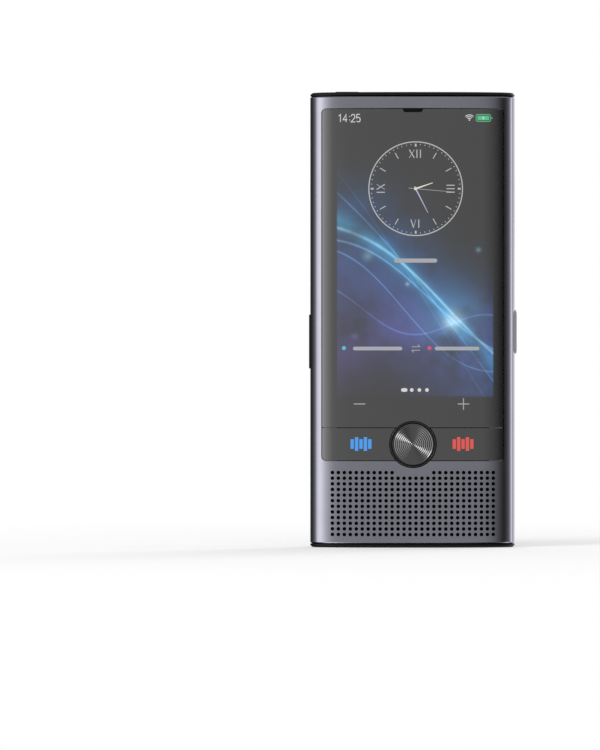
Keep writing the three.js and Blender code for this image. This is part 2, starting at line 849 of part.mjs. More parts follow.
function cameraModule(name, barrelDiameter, level) {
  const half = cameraBodyWidth / 2;
  const bodyBack = halfDepth - wall - cameraBodyGap;
  const body = box(-half, half, boardBack, bodyBack, -half, half);
  const barrel = drum(barrelDiameter / 2, 0, 0, boardBack, islandBase - seam, smallSides);
  const mesh = piece(name, body.add(barrel), 0x1e1f23, 0.4, 0.3);
  mesh.position.z = level;
  return mesh;
}

// Bracket: holds both camera modules and carries the flash lamp between them
function cameraBracket() {
  const half = cameraBodyWidth / 2;
  const back = halfDepth - wall - bracketBack;
  const side = half + bracketEdge;
  const bottom = lowerCameraLevel - side;
  let solid = box(-side, side, back - bracketThickness, back, bottom, upperCameraLevel);
  for (const level of [upperCameraLevel, lowerCameraLevel]) {
    const reach = half + seam;
    solid = solid.subtract(box(-reach, reach, 0, bodyDepth, level - reach, level + reach));
  }
  return piece('camera_bracket', solid, 0xa4a8ae, 0.35, 1);
}

function flashLed() {
  const half = flashLedWidth / 2;
  const back = halfDepth - wall - bracketBack;
  const solid = box(-half, half, back, back + flashLedDepth, -half, half);
  const mesh = piece('flash_led', solid, 0xf2d04a, 0.5, 0);
  mesh.position.z = flashLevel;
  return mesh;
}

// Power button in the top cap, with its switch below
function powerButton() {
  const half = powerLength / 2;
  const flangeTop = bodyHeight - capPlate - slide;
  const flangeBottom = flangeTop - powerFlangeThickness;
  const profile = new THREE.Shape();
  profile.moveTo(-half, flangeBottom);
  profile.lineTo(half, flangeBottom);
  profile.lineTo(half, bodyHeight);
  profile.lineTo(half - powerEndSlope, bodyHeight + powerProud);
  profile.lineTo(powerEndSlope - half, bodyHeight + powerProud);
  profile.lineTo(-half, bodyHeight);
  const edge = powerWidth / 2;
  const head = prismY(profile, -edge, edge).intersect(prismZ(powerOutline(0, 0), 0, bodyHeight + overrun));
  const side = half + powerFlangeEdge;
  const width = edge + powerFlangeEdge;
  const flange = box(-side, side, -width, width, flangeBottom, flangeTop);
  const thick = powerStemWidth / 2;
  const stem = box(-thick, thick, -thick, thick, flangeBottom - powerStemLength, flangeTop);
  const mesh = piece('power_button', head.add(flange).add(stem), 0x161618, 0.3, 0);
  mesh.position.x = powerCentre;
  return mesh;
}

function powerSwitch() {
  const stemEnd = bodyHeight - capPlate - slide - powerFlangeThickness - powerStemLength;
  const top = stemEnd - powerTravel - switchPlay;
  const half = switchLength / 2;
  const thick = powerStemWidth / 2;
  const back = boardBack + switchWidth;
  const body = box(-half, half, boardBack, back, top - switchDepth, top - switchNub);
  const nub = box(-thick, thick, -thick, thick, top - switchDepth, top);
  const mesh = piece('power_switch', body.add(nub), 0x9ea2a8, 0.4, 0.8);
  mesh.position.x = powerCentre;
  return mesh;
}

// Side keys, drawn for the right side and turned round for the left: a head in its slot and a flange
// behind the wall
function sideKeyFlangeFace() {
  return ovalHalfWidth(wall, sideKeyWidth / 2 + sideKeyFlangeEdge) - fit;
}

function sideKey(name, side, length, drop, proud, look) {
  const flangeFace = sideKeyFlangeFace();
  const flangeBack = flangeFace - sideKeyFlangeThickness;
  const half = length / 2;
  const head = prismX(uprightSlot(0, 0, length, sideKeyWidth), flangeBack, halfWidth + proud);
  const width = sideKeyWidth / 2 + sideKeyFlangeEdge;
  const reach = half + sideKeyFlangeEnd;
  const flange = box(flangeBack, flangeFace, -width, width, -reach, reach);
  const mesh = piece(name, head.add(flange), look.color, look.roughness, look.metalness);
  mesh.rotation.z = side < 0 ? Math.PI : 0;
  mesh.position.z = bodyHeight - drop - half;
  return mesh;
}

// A box at the right side, or its mirror image at the left
function sideBox(side, near, far, front, back, bottom, top) {
  return side < 0 ? box(-far, -near, front, back, bottom, top) : box(near, far, front, back, bottom, top);
}

function sideSwitch(name, side, length, drop) {
  const face = sideKeyFlangeFace() - sideKeyFlangeThickness - sideKeyTravel - switchPlay;
  const half = switchLength / 2;
  const far = face - switchDepth;
  const back = midframeBack + switchWidth;
  const level = bodyHeight - drop - length / 2;
  const thick = powerStemWidth / 2;
  const body = sideBox(side, far, face - switchNub, midframeBack, back, level - half, level + half);
  const nub = sideBox(side, far, face, -thick, thick, level - thick, level + thick);
  return piece(name, body.add(nub), 0x9ea2a8, 0.4, 0.8);
}

// Card tray: a face in the slot of the sleeve and a shelf with a pocket for the card
function simTray() {
  const level = (trayTop + trayBottom) / 2;
  const outline = uprightSlot(0, level, trayFaceLength, trayFaceWidth);
  const face = oval(0, 0, bodyHeight).intersect(prismX(outline, halfWidth - wall, bodyWidth));
  const half = trayThickness / 2;
  const side = trayWidth / 2;
  const shelf = box(trayEnd, halfWidth - wall / 2, -half, half, trayLevel - side, trayLevel + side);
  const pocketEnd = trayEnd + (trayLength - cardLength) / 2;
  const pocket = box(
    pocketEnd - slide,
    pocketEnd + cardLength + slide,
    trayFloor - half,
    bodyDepth,
    trayLevel - cardWidth / 2 - slide,
    trayLevel + cardWidth / 2 + slide,
  );
  const radius = pinHoleDiameter / 2;
  const hole = new THREE.CylinderGeometry(radius, radius, bodyWidth, smallSides);
  const drill = solidOf(hole.rotateZ(Math.PI / 2).translate(halfWidth, 0, trayTop - pinHoleDrop));
  return piece('sim_tray', face.add(shelf).subtract(pocket).subtract(drill), 0x7d7f86, 0.35, 1);
}

function simCard() {
  const start = trayEnd + (trayLength - cardLength) / 2;
  const bottom = -cardWidth / 2;
  const shape = new THREE.Shape();
  shape.moveTo(start, bottom);
  shape.lineTo(start + cardLength, bottom);
  shape.lineTo(start + cardLength, bottom + cardWidth);
  shape.lineTo(start + cardCut, bottom + cardWidth);
  shape.lineTo(start, bottom + cardWidth - cardCut);
  const floor = trayFloor - trayThickness / 2;
  const mesh = piece('sim_card', prismY(shape, floor, floor + cardThickness), 0xe8e8e4, 0.5, 0);
  mesh.position.z = trayLevel;
  return mesh;
}

function simSocket() {
  const half = trayWidth / 2 + seam;
  const outer = half + socketWall;
  const left = trayEnd - seam;
  const right = left + socketReach;
  const shell = box(left - socketWall, right, boardBack, socketBack, -outer, outer);
  const solid = shell.subtract(box(left, right + overrun, -slotHalf, slotHalf, -half, half));
  const mesh = piece('sim_socket', solid, 0xb6b9be, 0.35, 1);
  mesh.position.z = trayLevel;
  return mesh;
}

// Charging port: a steel shell round a tongue on a plastic base
function usbShell() {
  const outside = prismZ(flatSlot(0, 0, portWidth, portHeight), portSink, portTop);
  const bore = flatSlot(0, 0, portWidth - 2 * portWall, portHeight - 2 * portWall);
  return piece('usb_shell', outside.subtract(prismZ(bore, -overrun, portTop + overrun)), 0xc2c5ca, 0.3, 1);
}

function usbTongue() {
  const gap = 2 * (portWall + slide);
  const base = prismZ(flatSlot(0, 0, portWidth - gap, portHeight - gap), portTop - portBase, portTop);
  const side = tongueWidth / 2;
  const half = tongueThickness / 2;
  const blade = box(-side, side, -half, half, portSink + tongueSink, portTop - portBase / 2);
  return piece('usb_tongue', base.add(blade), 0x17171a, 0.5, 0);
}

function microphone() {
  const half = microphoneWidth / 2;
  const front = lowerBoardFront - microphoneHeight;
  const solid = box(-half, half, front, lowerBoardFront, insideBottom, insideBottom + microphoneWidth);
  const mesh = piece('microphone', solid, 0xc9a24a, 0.35, 1);
  mesh.position.x = microphoneAt;
  return mesh;
}

// Speaker: a dust mesh behind the holes, and a box with its cone
function speakerMesh() {
  const places = grillePlaces();
  const side = Math.max(...places.map(([x]) => x)) + speakerMeshEdge;
  const inset = wall + fit;
  const strip = box(-side, side, -bodyDepth, 0, insideBottom, speakerTop);
  const inside = oval(inset + speakerMeshThickness, -overrun, bodyHeight + overrun);
  const shell = oval(inset, 0, bodyHeight).subtract(inside);
  return piece('speaker_mesh', shell.intersect(strip), 0x0d0d0f, 0.9, 0);
}

function speakerBox() {
  const back = lowerBoardFront - fit;
  const room = box(speakerLeft, speakerRight, -bodyDepth, back, speakerBottom, speakerTop);
  const length = speakerConeLength + 2 * seam;
  const width = speakerConeWidth + 2 * seam;
  const floor = speakerInset + speakerConeBack - halfDepth;
  const recess = prismY(flatSlot(speakerMiddle, speakerLevel, length, width), -bodyDepth, floor);
  const solid = oval(speakerInset, 0, bodyHeight).intersect(room).subtract(recess);
  return piece('speaker_box', solid, 0x1d1d20, 0.6, 0);
}

function speakerCone() {
  const floor = speakerInset + speakerConeBack - halfDepth;
  const outline = flatSlot(speakerMiddle, 0, speakerConeLength, speakerConeWidth);
  const solid = prismY(outline, floor - speakerConeThickness, floor);
  const mesh = piece('speaker_cone', solid, 0x3b3c40, 0.5, 0);
  mesh.position.z = speakerLevel;
  return mesh;
}

function vibrationMotor() {
  const front = lowerBoardFront - motorThickness;
  const solid = drum(motorDiameter / 2, 0, 0, front, lowerBoardFront, smallSides);
  const mesh = piece('vibration_motor', solid, 0xb4b7bc, 0.3, 1);
  mesh.position.set(halfWidth - motorFromSide, 0, speakerLevel);
  return mesh;
}

// The whole device, in the order in which it comes apart
const darkKey = { color: 0x17171a, roughness: 0.35, metalness: 0 };
const lightKey = { color: 0xb4b6bd, roughness: 0.3, metalness: 1 };

const casing = new THREE.Group();
casing.add(housingSleeve(), topCap(), bottomCap());

const front = new THREE.Group();
front.add(frontGlass(), earpieceMesh(), displayModule(), earpieceReceiver());

const keys = new THREE.Group();
keys.add(
  voiceKey('left_key', -1),
  voiceKey('right_key', 1),
  buttonRing(),
  roundButton(),
  keyBoard(),
  keyDome('left_key_dome', -keyPlungerAt),
  keyDome('round_button_dome', 0),
  keyDome('right_key_dome', keyPlungerAt),
);

const sides = new THREE.Group();
sides.add(
  powerButton(),
  powerSwitch(),
  sideKey('left_side_key', -1, leftKeyLength, leftKeyDrop, leftKeyProud, darkKey),
  sideSwitch('left_side_switch', -1, leftKeyLength, leftKeyDrop),
  sideKey('right_side_key', 1, rightKeyLength, rightKeyDrop, rightKeyProud, lightKey),
  sideSwitch('right_side_switch', 1, rightKeyLength, rightKeyDrop),
  simTray(),
  simCard(),
  simSocket(),
);

const cameras = new THREE.Group();
cameras.add(
  backGlass(),
  cameraPlate(),
  lens('upper_camera_lens', upperLensDiameter, upperCameraLevel, 0x0a0d18),
  lens('flash_lens', flashDiameter, flashLevel, 0xf0e3b0),
  lowerCameraRing(),
  lens('lower_camera_lens', lowerRingDiameter - 2 * (lowerRingWidth + slide), lowerCameraLevel, 0x0b1020),
  cameraModule('upper_camera_module', upperBarrelDiameter, upperCameraLevel),
  cameraModule('lower_camera_module', lowerBarrelDiameter, lowerCameraLevel),
  cameraBracket(),
  flashLed(),
);

const works = new THREE.Group();
works.add(
  midframe(),
  mainBoard(),
  shieldCan(),
  processor(),
  battery(),
  boardRibbon(),
  lowerBoard(),
  usbShell(),
  usbTongue(),
  microphone(),
  speakerMesh(),
  speakerBox(),
  speakerCone(),
  vibrationMotor(),
);
boardScrewPlaces().forEach((place, index) => {
  works.add(screw(`board_screw_${index + 1}`, place, boardBack, boardThickness + midframeThickness));
});
lowerScrewPlaces().forEach((place, index) => {
  works.add(screw(`lower_screw_${index + 1}`, place, lowerBoardBack, lowerBoardThickness + 2 * screwShank));
});

const translator = new THREE.Group();
translator.name = 'handheld_translator';
translator.add(casing, front, keys, sides, cameras, works);

export default translator;
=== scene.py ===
# %% [markdown]
# # A handheld translator, dressed around its CAD frame
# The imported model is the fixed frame: it says where each piece is and which body it moves with.
# Everything below is drawn in the same place and the same units, so that nothing has to be fitted.
# We draw in millimetres, because that is how a device like this is measured, and turn each finished
# mesh into metres at the end.

# %% Load the frame
import math

import bmesh
import bpy
from mathutils import Matrix, Vector


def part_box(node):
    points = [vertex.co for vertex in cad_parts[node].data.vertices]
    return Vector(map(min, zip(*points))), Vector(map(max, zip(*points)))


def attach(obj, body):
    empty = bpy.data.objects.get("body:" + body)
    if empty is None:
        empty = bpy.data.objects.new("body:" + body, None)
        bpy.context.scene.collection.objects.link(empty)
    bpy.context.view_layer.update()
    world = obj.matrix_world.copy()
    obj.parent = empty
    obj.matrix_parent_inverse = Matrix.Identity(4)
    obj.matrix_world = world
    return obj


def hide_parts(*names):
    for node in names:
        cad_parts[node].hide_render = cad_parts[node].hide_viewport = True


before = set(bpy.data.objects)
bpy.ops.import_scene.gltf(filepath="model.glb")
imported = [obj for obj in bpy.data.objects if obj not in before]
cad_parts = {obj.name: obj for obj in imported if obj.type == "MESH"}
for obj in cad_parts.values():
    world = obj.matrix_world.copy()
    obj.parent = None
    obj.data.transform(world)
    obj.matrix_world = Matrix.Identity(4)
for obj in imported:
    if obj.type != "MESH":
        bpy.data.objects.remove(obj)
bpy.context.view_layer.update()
scene = bpy.context.scene
MM = 0.001

# %% [markdown]
# ## The camera
# The photograph looks straight at the front from far away, so the sides hardly converge. A long lens
# does the same here. The device stands right of the middle, as its front view does.

# %% Camera
CAMERA_DISTANCE = 1200
FRAME_HEIGHT = 183.4
SENSOR = 36
CAMERA_ACROSS = -27.5
CAMERA_LEVEL = 42.05
NEAREST_SEEN = 50
FARTHEST_SEEN = 20000
LEVEL_GAZE = math.radians(90)


def photo_camera():
    data = bpy.data.cameras.new("photo_camera")
    data.sensor_fit = "AUTO"
    data.sensor_width = SENSOR
    data.lens = SENSOR * CAMERA_DISTANCE / FRAME_HEIGHT
    data.clip_start = NEAREST_SEEN * MM
    data.clip_end = FARTHEST_SEEN * MM
    made = bpy.data.objects.new("photo_camera", data)
    made.location = Vector((CAMERA_ACROSS, -CAMERA_DISTANCE, CAMERA_LEVEL)) * MM
    made.rotation_euler = (LEVEL_GAZE, 0, 0)
    scene.collection.objects.link(made)
    scene.camera = made
    return made


camera = photo_camera()
scene.view_settings.view_transform = "Standard"
print("lens", round(camera.data.lens, 1), "mm")

# %% [markdown]
# ## Node helpers
# Every finish below is a small graph of nodes. A few short helpers keep those graphs readable: one sets
# or links a value, one adds a node, one does a sum, and one mixes two colours.

# %% Helpers for node graphs
# A Mix node has a set of sockets for each kind of value. These are the ones that mix colours.
MIX_FACTOR = 0
MIX_FIRST = 6
MIX_SECOND = 7
MIX_RESULT = 2


def wire(tree, value, socket):
    """Links a value that is an output, and sets any other value on the socket itself."""
    if isinstance(value, bpy.types.NodeSocket):
        tree.links.new(value, socket)
    else:
        socket.default_value = value


def add_node(tree, kind, wired=None, **settings):
    made = tree.nodes.new(kind)
    for key, value in settings.items():
        setattr(made, key, value)
    for key, value in (wired or {}).items():
        wire(tree, value, made.inputs[key])
    return made


def calc(tree, operation, *terms):
    made = add_node(tree, "ShaderNodeMath", operation=operation)
    for socket, term in zip(made.inputs, terms):
        wire(tree, term, socket)
    return made.outputs[0]


def mix_colours(tree, factor, first, second):
    made = add_node(tree, "ShaderNodeMix", data_type="RGBA")
    wire(tree, factor, made.inputs[MIX_FACTOR])
    wire(tree, first, made.inputs[MIX_FIRST])
    wire(tree, second, made.inputs[MIX_SECOND])
    return made.outputs[MIX_RESULT]


def rgba(red, green, blue):
    return (red, green, blue, 1)


def seen_directly(tree):
    """One where the camera looks, straight or through clear glass, and zero for all other light."""
    path = add_node(tree, "ShaderNodeLightPath").outputs
    return calc(tree, "MAXIMUM", path["Is Camera Ray"], path["Is Transmission Ray"])


def smooth_share(tree, value, low, high, least=0.0):
    """Rises smoothly to one as a value goes from low to high, from the least share on."""
    wired = {"Value": value, "From Min": low, "From Max": high, "To Min": least}
    made = add_node(tree, "ShaderNodeMapRange", wired, interpolation_type="SMOOTHSTEP")
    return made.outputs["Result"]


print("helpers for node graphs are ready")

# %% [markdown]
# ## The studio
# Metal and glass show what is round them, so the walls matter more than the lamps. A product
# photographer sets a tall bright panel at one side of a pale studio and a dark card at the other: that
# gives aluminium its bright band, its dark band and the thin bright line at its edge. A ring of tones
# round the horizon does the work of those panels. Straight ahead it is plain white, and the darker
# half behind repeats the order of the half in front, so that the back gets the same bands.
# The camera itself, and anything seen through clear glass, sees plain white.

# %% Tones of the walls
# Degrees from the front, counted towards the left, and how bright the wall is there
WALL_TONES = (
    (-180, 0.48),
    (-168, 0.58),
    (-155, 1.0),
    (-145, 2.1),
    (-132, 3.5),
    (-115, 1.6),
    (-102, 1.2),
    (-93, 3.5),
    (-85, 3.5),
    (-77, 1.2),
    (-68, 0.5),
    (-57, 0.2),
    (-47, 0.05),
    (-39, 0.24),
    (-31, 0.55),
    (-21, 0.88),
    (0, 0.93),
    (15, 0.98),
    (27, 1.1),
    (36, 2.1),
    (48, 3.9),
    (58, 3.7),
    (66, 1.9),
    (74, 0.6),
    (90, 0.3),
    (105, 0.12),
    (137, 0.08),
    (150, 0.3),
    (165, 0.38),
    (180, 0.48),
)
BRIGHTEST_WALL = 4.0
wall_levels = [level for degrees, level in WALL_TONES]
print("the walls go from", min(wall_levels), "to", max(wall_levels))

# %% [markdown]
# Blender's world is seen by its direction only, as if it were very far away. Here the angle of that
# direction round the upright axis picks a tone from a ramp, and toward the top one even tone takes over.
# A picture wrapped round the world would do as well, but a ramp is changed with one number.

# %% World
CEILING_LEVEL = 0.95
CEILING_STARTS = 0.45
CEILING_FULL = 0.8
FULL_TURN = 360
FRONT_PLACE = 0.5


def studio_walls():
    world = bpy.data.worlds.new("studio")
    world.use_nodes = True
    scene.world = world
    tree = world.node_tree
    tree.nodes.clear()
    toward = add_node(tree, "ShaderNodeTexCoord").outputs["Generated"]
    part = add_node(tree, "ShaderNodeSeparateXYZ", {0: toward})
    left = calc(tree, "MULTIPLY", part.outputs["X"], -1)
    front = calc(tree, "MULTIPLY", part.outputs["Y"], -1)
    turn = calc(tree, "ARCTAN2", left, front)
    share = calc(tree, "MULTIPLY_ADD", turn, 1 / (2 * math.pi), FRONT_PLACE)
    ramp = add_node(tree, "ShaderNodeValToRGB", {"Fac": share})
    elements = ramp.color_ramp.elements
    while len(elements) > 1:
        elements.remove(elements[-1])
    for degrees, level in WALL_TONES:
        place = degrees / FULL_TURN + FRONT_PLACE
        stop = elements[0] if place == 0 else elements.new(place)
        tone = level / BRIGHTEST_WALL
        stop.color = rgba(tone, tone, tone)
    wall = calc(tree, "MULTIPLY", ramp.outputs["Color"], BRIGHTEST_WALL)
    overhead = smooth_share(tree, part.outputs["Z"], CEILING_STARTS, CEILING_FULL)
    low_part = calc(tree, "MULTIPLY", wall, calc(tree, "SUBTRACT", 1, overhead))
    level = calc(tree, "MULTIPLY_ADD", overhead, CEILING_LEVEL, low_part)
    light = add_node(tree, "ShaderNodeBackground", {"Color": rgba(1, 1, 1), "Strength": level})
    white = add_node(tree, "ShaderNodeBackground", {"Color": rgba(1, 1, 1), "Strength": 1})
    seen = seen_directly(tree)
    both = add_node(tree, "ShaderNodeMixShader", {0: seen, 1: light.outputs[0], 2: white.outputs[0]})
    add_node(tree, "ShaderNodeOutputWorld", {0: both.outputs[0]})
    return world


studio = studio_walls()
print("world", studio.name, "with", len(WALL_TONES), "tones")

# %% [markdown]
# Two large soft lamps give the shadows a direction. One is high at the left of the front, the other high
# at the left of the back as one faces it. They are weak, because the walls already light the device to
# the level at which a colour looks as it is written.

# %% Lamps
LAMP_SIZE = 450
LAMPS = (("front_lamp", (-1000, -900, 620), 6.0), ("back_lamp", (1000, 900, 620), 3.5))
LAMP_AIM = (0, 0, 50)


def soft_lamp(name, place, power):
    data = bpy.data.lights.new(name, "AREA")
    data.shape = "DISK"
    data.size = LAMP_SIZE * MM
    data.energy = power
    lamp = bpy.data.objects.new(name, data)
    lamp.location = Vector(place) * MM
    aim = Vector(LAMP_AIM) - Vector(place)
    lamp.rotation_euler = aim.to_track_quat("-Z", "Y").to_euler()
    lamp.visible_camera = False
    scene.collection.objects.link(lamp)
    return lamp


for lamp_name, lamp_place, lamp_power in LAMPS:
    soft_lamp(lamp_name, lamp_place, lamp_power)
print("lamps", [name for name, place, power in LAMPS])

# %% [markdown]
# The floor is a wide pale sheet. Near the device most of its white comes from the light, so the soft
# shadow shows. Farther out more and more of the white is the floor's own, so the shadow fades and the
# sheet turns into the white background with no horizon. Gloss looks past it to the walls, so the bands
# in the metal run down to the foot.

# %% Floor
FLOOR_REACH = 9000
FLOOR_CELLS = 24
FLOOR_WHITE = 0.78
FLOOR_OWN_SHARE = 0.25
FLOOR_FADE_FROM = 40
FLOOR_FADE_TO = 250
FLOOR_SPECKLE = 0.02
FLOOR_SPECKLE_SCALE = 300.0


def floor_finish():
    material = bpy.data.materials.new("pale_floor")
    material.use_nodes = True
    tree = material.node_tree
    tree.nodes.clear()
    place = add_node(tree, "ShaderNodeTexCoord").outputs["Object"]
    away = add_node(tree, "ShaderNodeVectorMath", {0: place}, operation="LENGTH").outputs["Value"]
    fade = smooth_share(tree, away, FLOOR_FADE_FROM * MM, FLOOR_FADE_TO * MM, FLOOR_OWN_SHARE)
    noise = add_node(tree, "ShaderNodeTexNoise", {"Vector": place, "Scale": FLOOR_SPECKLE_SCALE})
    pale, paler = (rgba(tone, tone, tone) for tone in (FLOOR_WHITE, FLOOR_WHITE + FLOOR_SPECKLE))
    speckled = mix_colours(tree, noise.outputs["Fac"], pale, paler)
    paper = add_node(tree, "ShaderNodeBsdfDiffuse", {"Color": speckled})
    white = add_node(tree, "ShaderNodeEmission", {"Color": rgba(1, 1, 1), "Strength": 1})
    share = calc(tree, "MULTIPLY", seen_directly(tree), fade)
    both = add_node(tree, "ShaderNodeMixShader", {0: share, 1: paper.outputs[0], 2: white.outputs[0]})
    add_node(tree, "ShaderNodeOutputMaterial", {0: both.outputs[0]})
    return material


def pale_floor():
    mesh = bpy.data.meshes.new("floor")
    shape = bmesh.new()
    bmesh.ops.create_grid(shape, x_segments=FLOOR_CELLS, y_segments=FLOOR_CELLS, size=FLOOR_REACH * MM)
    shape.to_mesh(mesh)
    shape.free()
    mesh.materials.append(floor_finish())
    made = bpy.data.objects.new("floor", mesh)
    made.visible_glossy = False
    scene.collection.objects.link(made)
    return made


floor = pale_floor()
print(floor.name, "reaches", FLOOR_REACH, "mm each way")

# %% [markdown]
# ## Shapes that every piece uses
# The device is an oval tube: a superellipse, rounder than a box and flatter than an ellipse. The glass,
# the keys and the caps all follow it, so one pair of functions gives the depth at any place across and
# a loop of points at any inset.

# %% The oval
HALF_WIDTH = 25
HALF_DEPTH = 5.6
HEIGHT = 111
OVAL_POWER = 2.5
OVAL_POINTS = 256


def oval_depth(across, inset=0):
    share = min(abs(across) / (HALF_WIDTH - inset), 1)
    return (HALF_DEPTH - inset) * (1 - share**OVAL_POWER) ** (1 / OVAL_POWER)


def oval_loop(inset, level):
    loop = []
    for step in range(OVAL_POINTS):
        angle = 2 * math.pi * step / OVAL_POINTS
        part = abs(math.cos(angle)) ** (2 / OVAL_POWER)
        x = math.copysign((HALF_WIDTH - inset) * part, math.cos(angle))
        part = abs(math.sin(angle)) ** (2 / OVAL_POWER)
        y = math.copysign((HALF_DEPTH - inset) * part, math.sin(angle))
        loop.append((x, y, level))
    return loop


print("depth at the middle and at 20 mm", oval_depth(0), round(oval_depth(20), 2))

# %% [markdown]
# Most pieces are one of four shapes: a skin through loops of points, an outline pushed along an axis,
# a profile turned about an axis, or one of these cut by another. Real parts come about the same way,
# by extrusion, milling, turning and drilling.

# %% Skins
# Points that lie closer than this are one point
MERGE = 0.0001


def piece_of(name, shape):
    bmesh.ops.remove_doubles(shape, verts=shape.verts, dist=MERGE)
    bmesh.ops.recalc_face_normals(shape, faces=shape.faces)
    mesh = bpy.data.meshes.new(name)
    shape.to_mesh(mesh)
    shape.free()
    made = bpy.data.objects.new(name, mesh)
    scene.collection.objects.link(made)
    return made


def add_skin(shape, loops, ring=False):
    """A closed skin through loops of points: flat at both ends, or joined from last to first."""
    rows = [[shape.verts.new(point) for point in loop] for loop in loops]
    count = len(rows[0])
    for low, high in zip(rows, rows[1:] + rows[:1] if ring else rows[1:]):
        for near in range(count):
            far = (near + 1) % count
            shape.faces.new((low[near], low[far], high[far], high[near]))
    if not ring:
        shape.faces.new(rows[0])
        shape.faces.new(rows[-1])


def skin(name, loops, ring=False):
    shape = bmesh.new()
    add_skin(shape, loops, ring)
    return piece_of(name, shape)


print("points closer than", MERGE, "mm are one point")

# %% [markdown]
# An outline is a list of pairs of numbers that can stand across any axis. Pushed along the axis it gives
# a prism, and circles of changing radius give a turned piece. Blender has operators for both, but they
# depend on what is selected, while a skin through loops is the same each time.

# %% Outlines, prisms and turned pieces
TURNED_SIDES = 96


def stand(axis, outline, at):
    """An outline of two numbers a point, stood across an axis at a place along it."""
    if axis == "X":
        return [(at, first, second) for first, second in outline]
    if axis == "Y":
        return [(first, at, second) for first, second in outline]
    return [(first, second, at) for first, second in outline]


def prism(name, axis, outline, start, end):
    return skin(name, [stand(axis, outline, start), stand(axis, outline, end)])


def circle(across, level, radius, sides=TURNED_SIDES):
    turns = [2 * math.pi * step / sides for step in range(sides)]
    return [(across + radius * math.cos(turn), level + radius * math.sin(turn)) for turn in turns]


def turned(name, profile, across, level, ring=False):
    """Turns pairs of radius and depth about a line along Y. A radius of zero closes an end."""
    loops = [stand("Y", circle(across, level, max(radius, MERGE / 10)), y) for radius, y in profile]
    return skin(name, loops, ring)


def rounded_rect(left, right, bottom, top, radius, steps=8, low_radius=None):
    """An outline with round corners. The two lower corners can have a radius of their own."""
    low = radius if low_radius is None else low_radius
    corners = (
        (right - low, bottom + low, -math.pi / 2, low),
        (right - radius, top - radius, 0, radius),
        (left + radius, top - radius, math.pi / 2, radius),
        (left + low, bottom + low, math.pi, low),
    )
    outline = []
    for x, z, start, radius in corners:
        for step in range(steps + 1):
            turn = start + math.pi / 2 * step / steps
            outline.append((x + radius * math.cos(turn), z + radius * math.sin(turn)))
    return outline


def slot_outline(middle, level, width, length, flat=False):
    """A slot with round ends, upright or lying flat."""
    short = width / 2
    long = length / 2
    across, up = (long, short) if flat else (short, long)
    return rounded_rect(middle - across, middle + across, level - up, level + up, short - MERGE)


print("a turned piece has", TURNED_SIDES, "sides")

# %% [markdown]
# One solid is cut by another with a Boolean modifier, as a cutter takes away its own shape. A piece
# fresh from a cut has edges like knives, and no real edge is one: each is broken by a tool or rolled in
# a mould. So most pieces get a narrow bevel, made by a modifier that looks for edges by their angle.

# %% Cutting and softening
SOFTEN_ANGLE = math.radians(40)


def apply_modifiers(piece):
    graph = bpy.context.evaluated_depsgraph_get()
    mesh = bpy.data.meshes.new_from_object(piece.evaluated_get(graph), depsgraph=graph)
    before = piece.data
    piece.modifiers.clear()
    piece.data = mesh
    bpy.data.meshes.remove(before)


def combine(piece, tool, operation):
    modifier = piece.modifiers.new("combine", "BOOLEAN")
    modifier.operation = operation
    modifier.solver = "EXACT"
    modifier.object = tool
    apply_modifiers(piece)
    bpy.data.objects.remove(tool)
    return piece


def cut(piece, *tools):
    for tool in tools:
        combine(piece, tool, "DIFFERENCE")
    return piece


def keep(piece, tool):
    return combine(piece, tool, "INTERSECT")


def join(piece, *tools):
    for tool in tools:
        combine(piece, tool, "UNION")
    return piece


def soften(piece, width, segments=2):
    """Rounds every edge that turns by more than a few steps, as a real edge is."""
    modifier = piece.modifiers.new("soften", "BEVEL")
    modifier.width = width
    modifier.segments = segments
    modifier.limit_method = "ANGLE"
    modifier.angle_limit = SOFTEN_ANGLE
    apply_modifiers(piece)
    return piece


print("edges that turn by more than", round(math.degrees(SOFTEN_ANGLE)), "degrees are softened")

# %% [markdown]
# The faces of a mesh are flat, and on the oval the real surface is not. Many more faces would hide that,
# at a price. Instead each corner on the oval is told the direction of the true surface, which has a
# plain formula, and the light then glides over the wall with no steps.

# %% Shading
SHARP_ANGLE = math.radians(32)
# How far off the oval a corner may lie, and how squarely its face must look outwards, to count as on it
ON_OVAL = 0.004
FACES_OUT = 0.97


def oval_normal(point):
    x = math.copysign((abs(point.x) / HALF_WIDTH) ** (OVAL_POWER - 1) / HALF_WIDTH, point.x)
    y = math.copysign((abs(point.y) / HALF_DEPTH) ** (OVAL_POWER - 1) / HALF_DEPTH, point.y)
    return Vector((x, y, 0)).normalized()


def off_oval(point):
    share = (abs(point.x) / HALF_WIDTH) ** OVAL_POWER + (abs(point.y) / HALF_DEPTH) ** OVAL_POWER
    return abs(share - 1)


def shade(piece, on_oval):
    """Smooth shading with crisp edges. On the oval each corner gets the true direction of the surface."""
    piece.data.shade_smooth()
    piece.data.set_sharp_from_angle(angle=SHARP_ANGLE)
    # Wide faces keep their direction, so that a rounded rim doesn't smear over the flat beside it
    weighted = piece.modifiers.new("weighted", "WEIGHTED_NORMAL")
    weighted.keep_sharp = True
    apply_modifiers(piece)
    mesh = piece.data
    if not on_oval:
        return
    normals = [corner.vector.copy() for corner in mesh.corner_normals]
    for face in mesh.polygons:
        out = oval_normal(face.center)
        if face.normal.dot(out) < FACES_OUT:
            continue
        for corner in face.loop_indices:
            point = mesh.vertices[mesh.loops[corner].vertex_index].co
            if off_oval(point) < ON_OVAL:
                normals[corner] = oval_normal(point)
    mesh.normals_split_custom_set(normals)


print("edges that turn by more than", round(math.degrees(SHARP_ANGLE)), "degrees stay crisp")
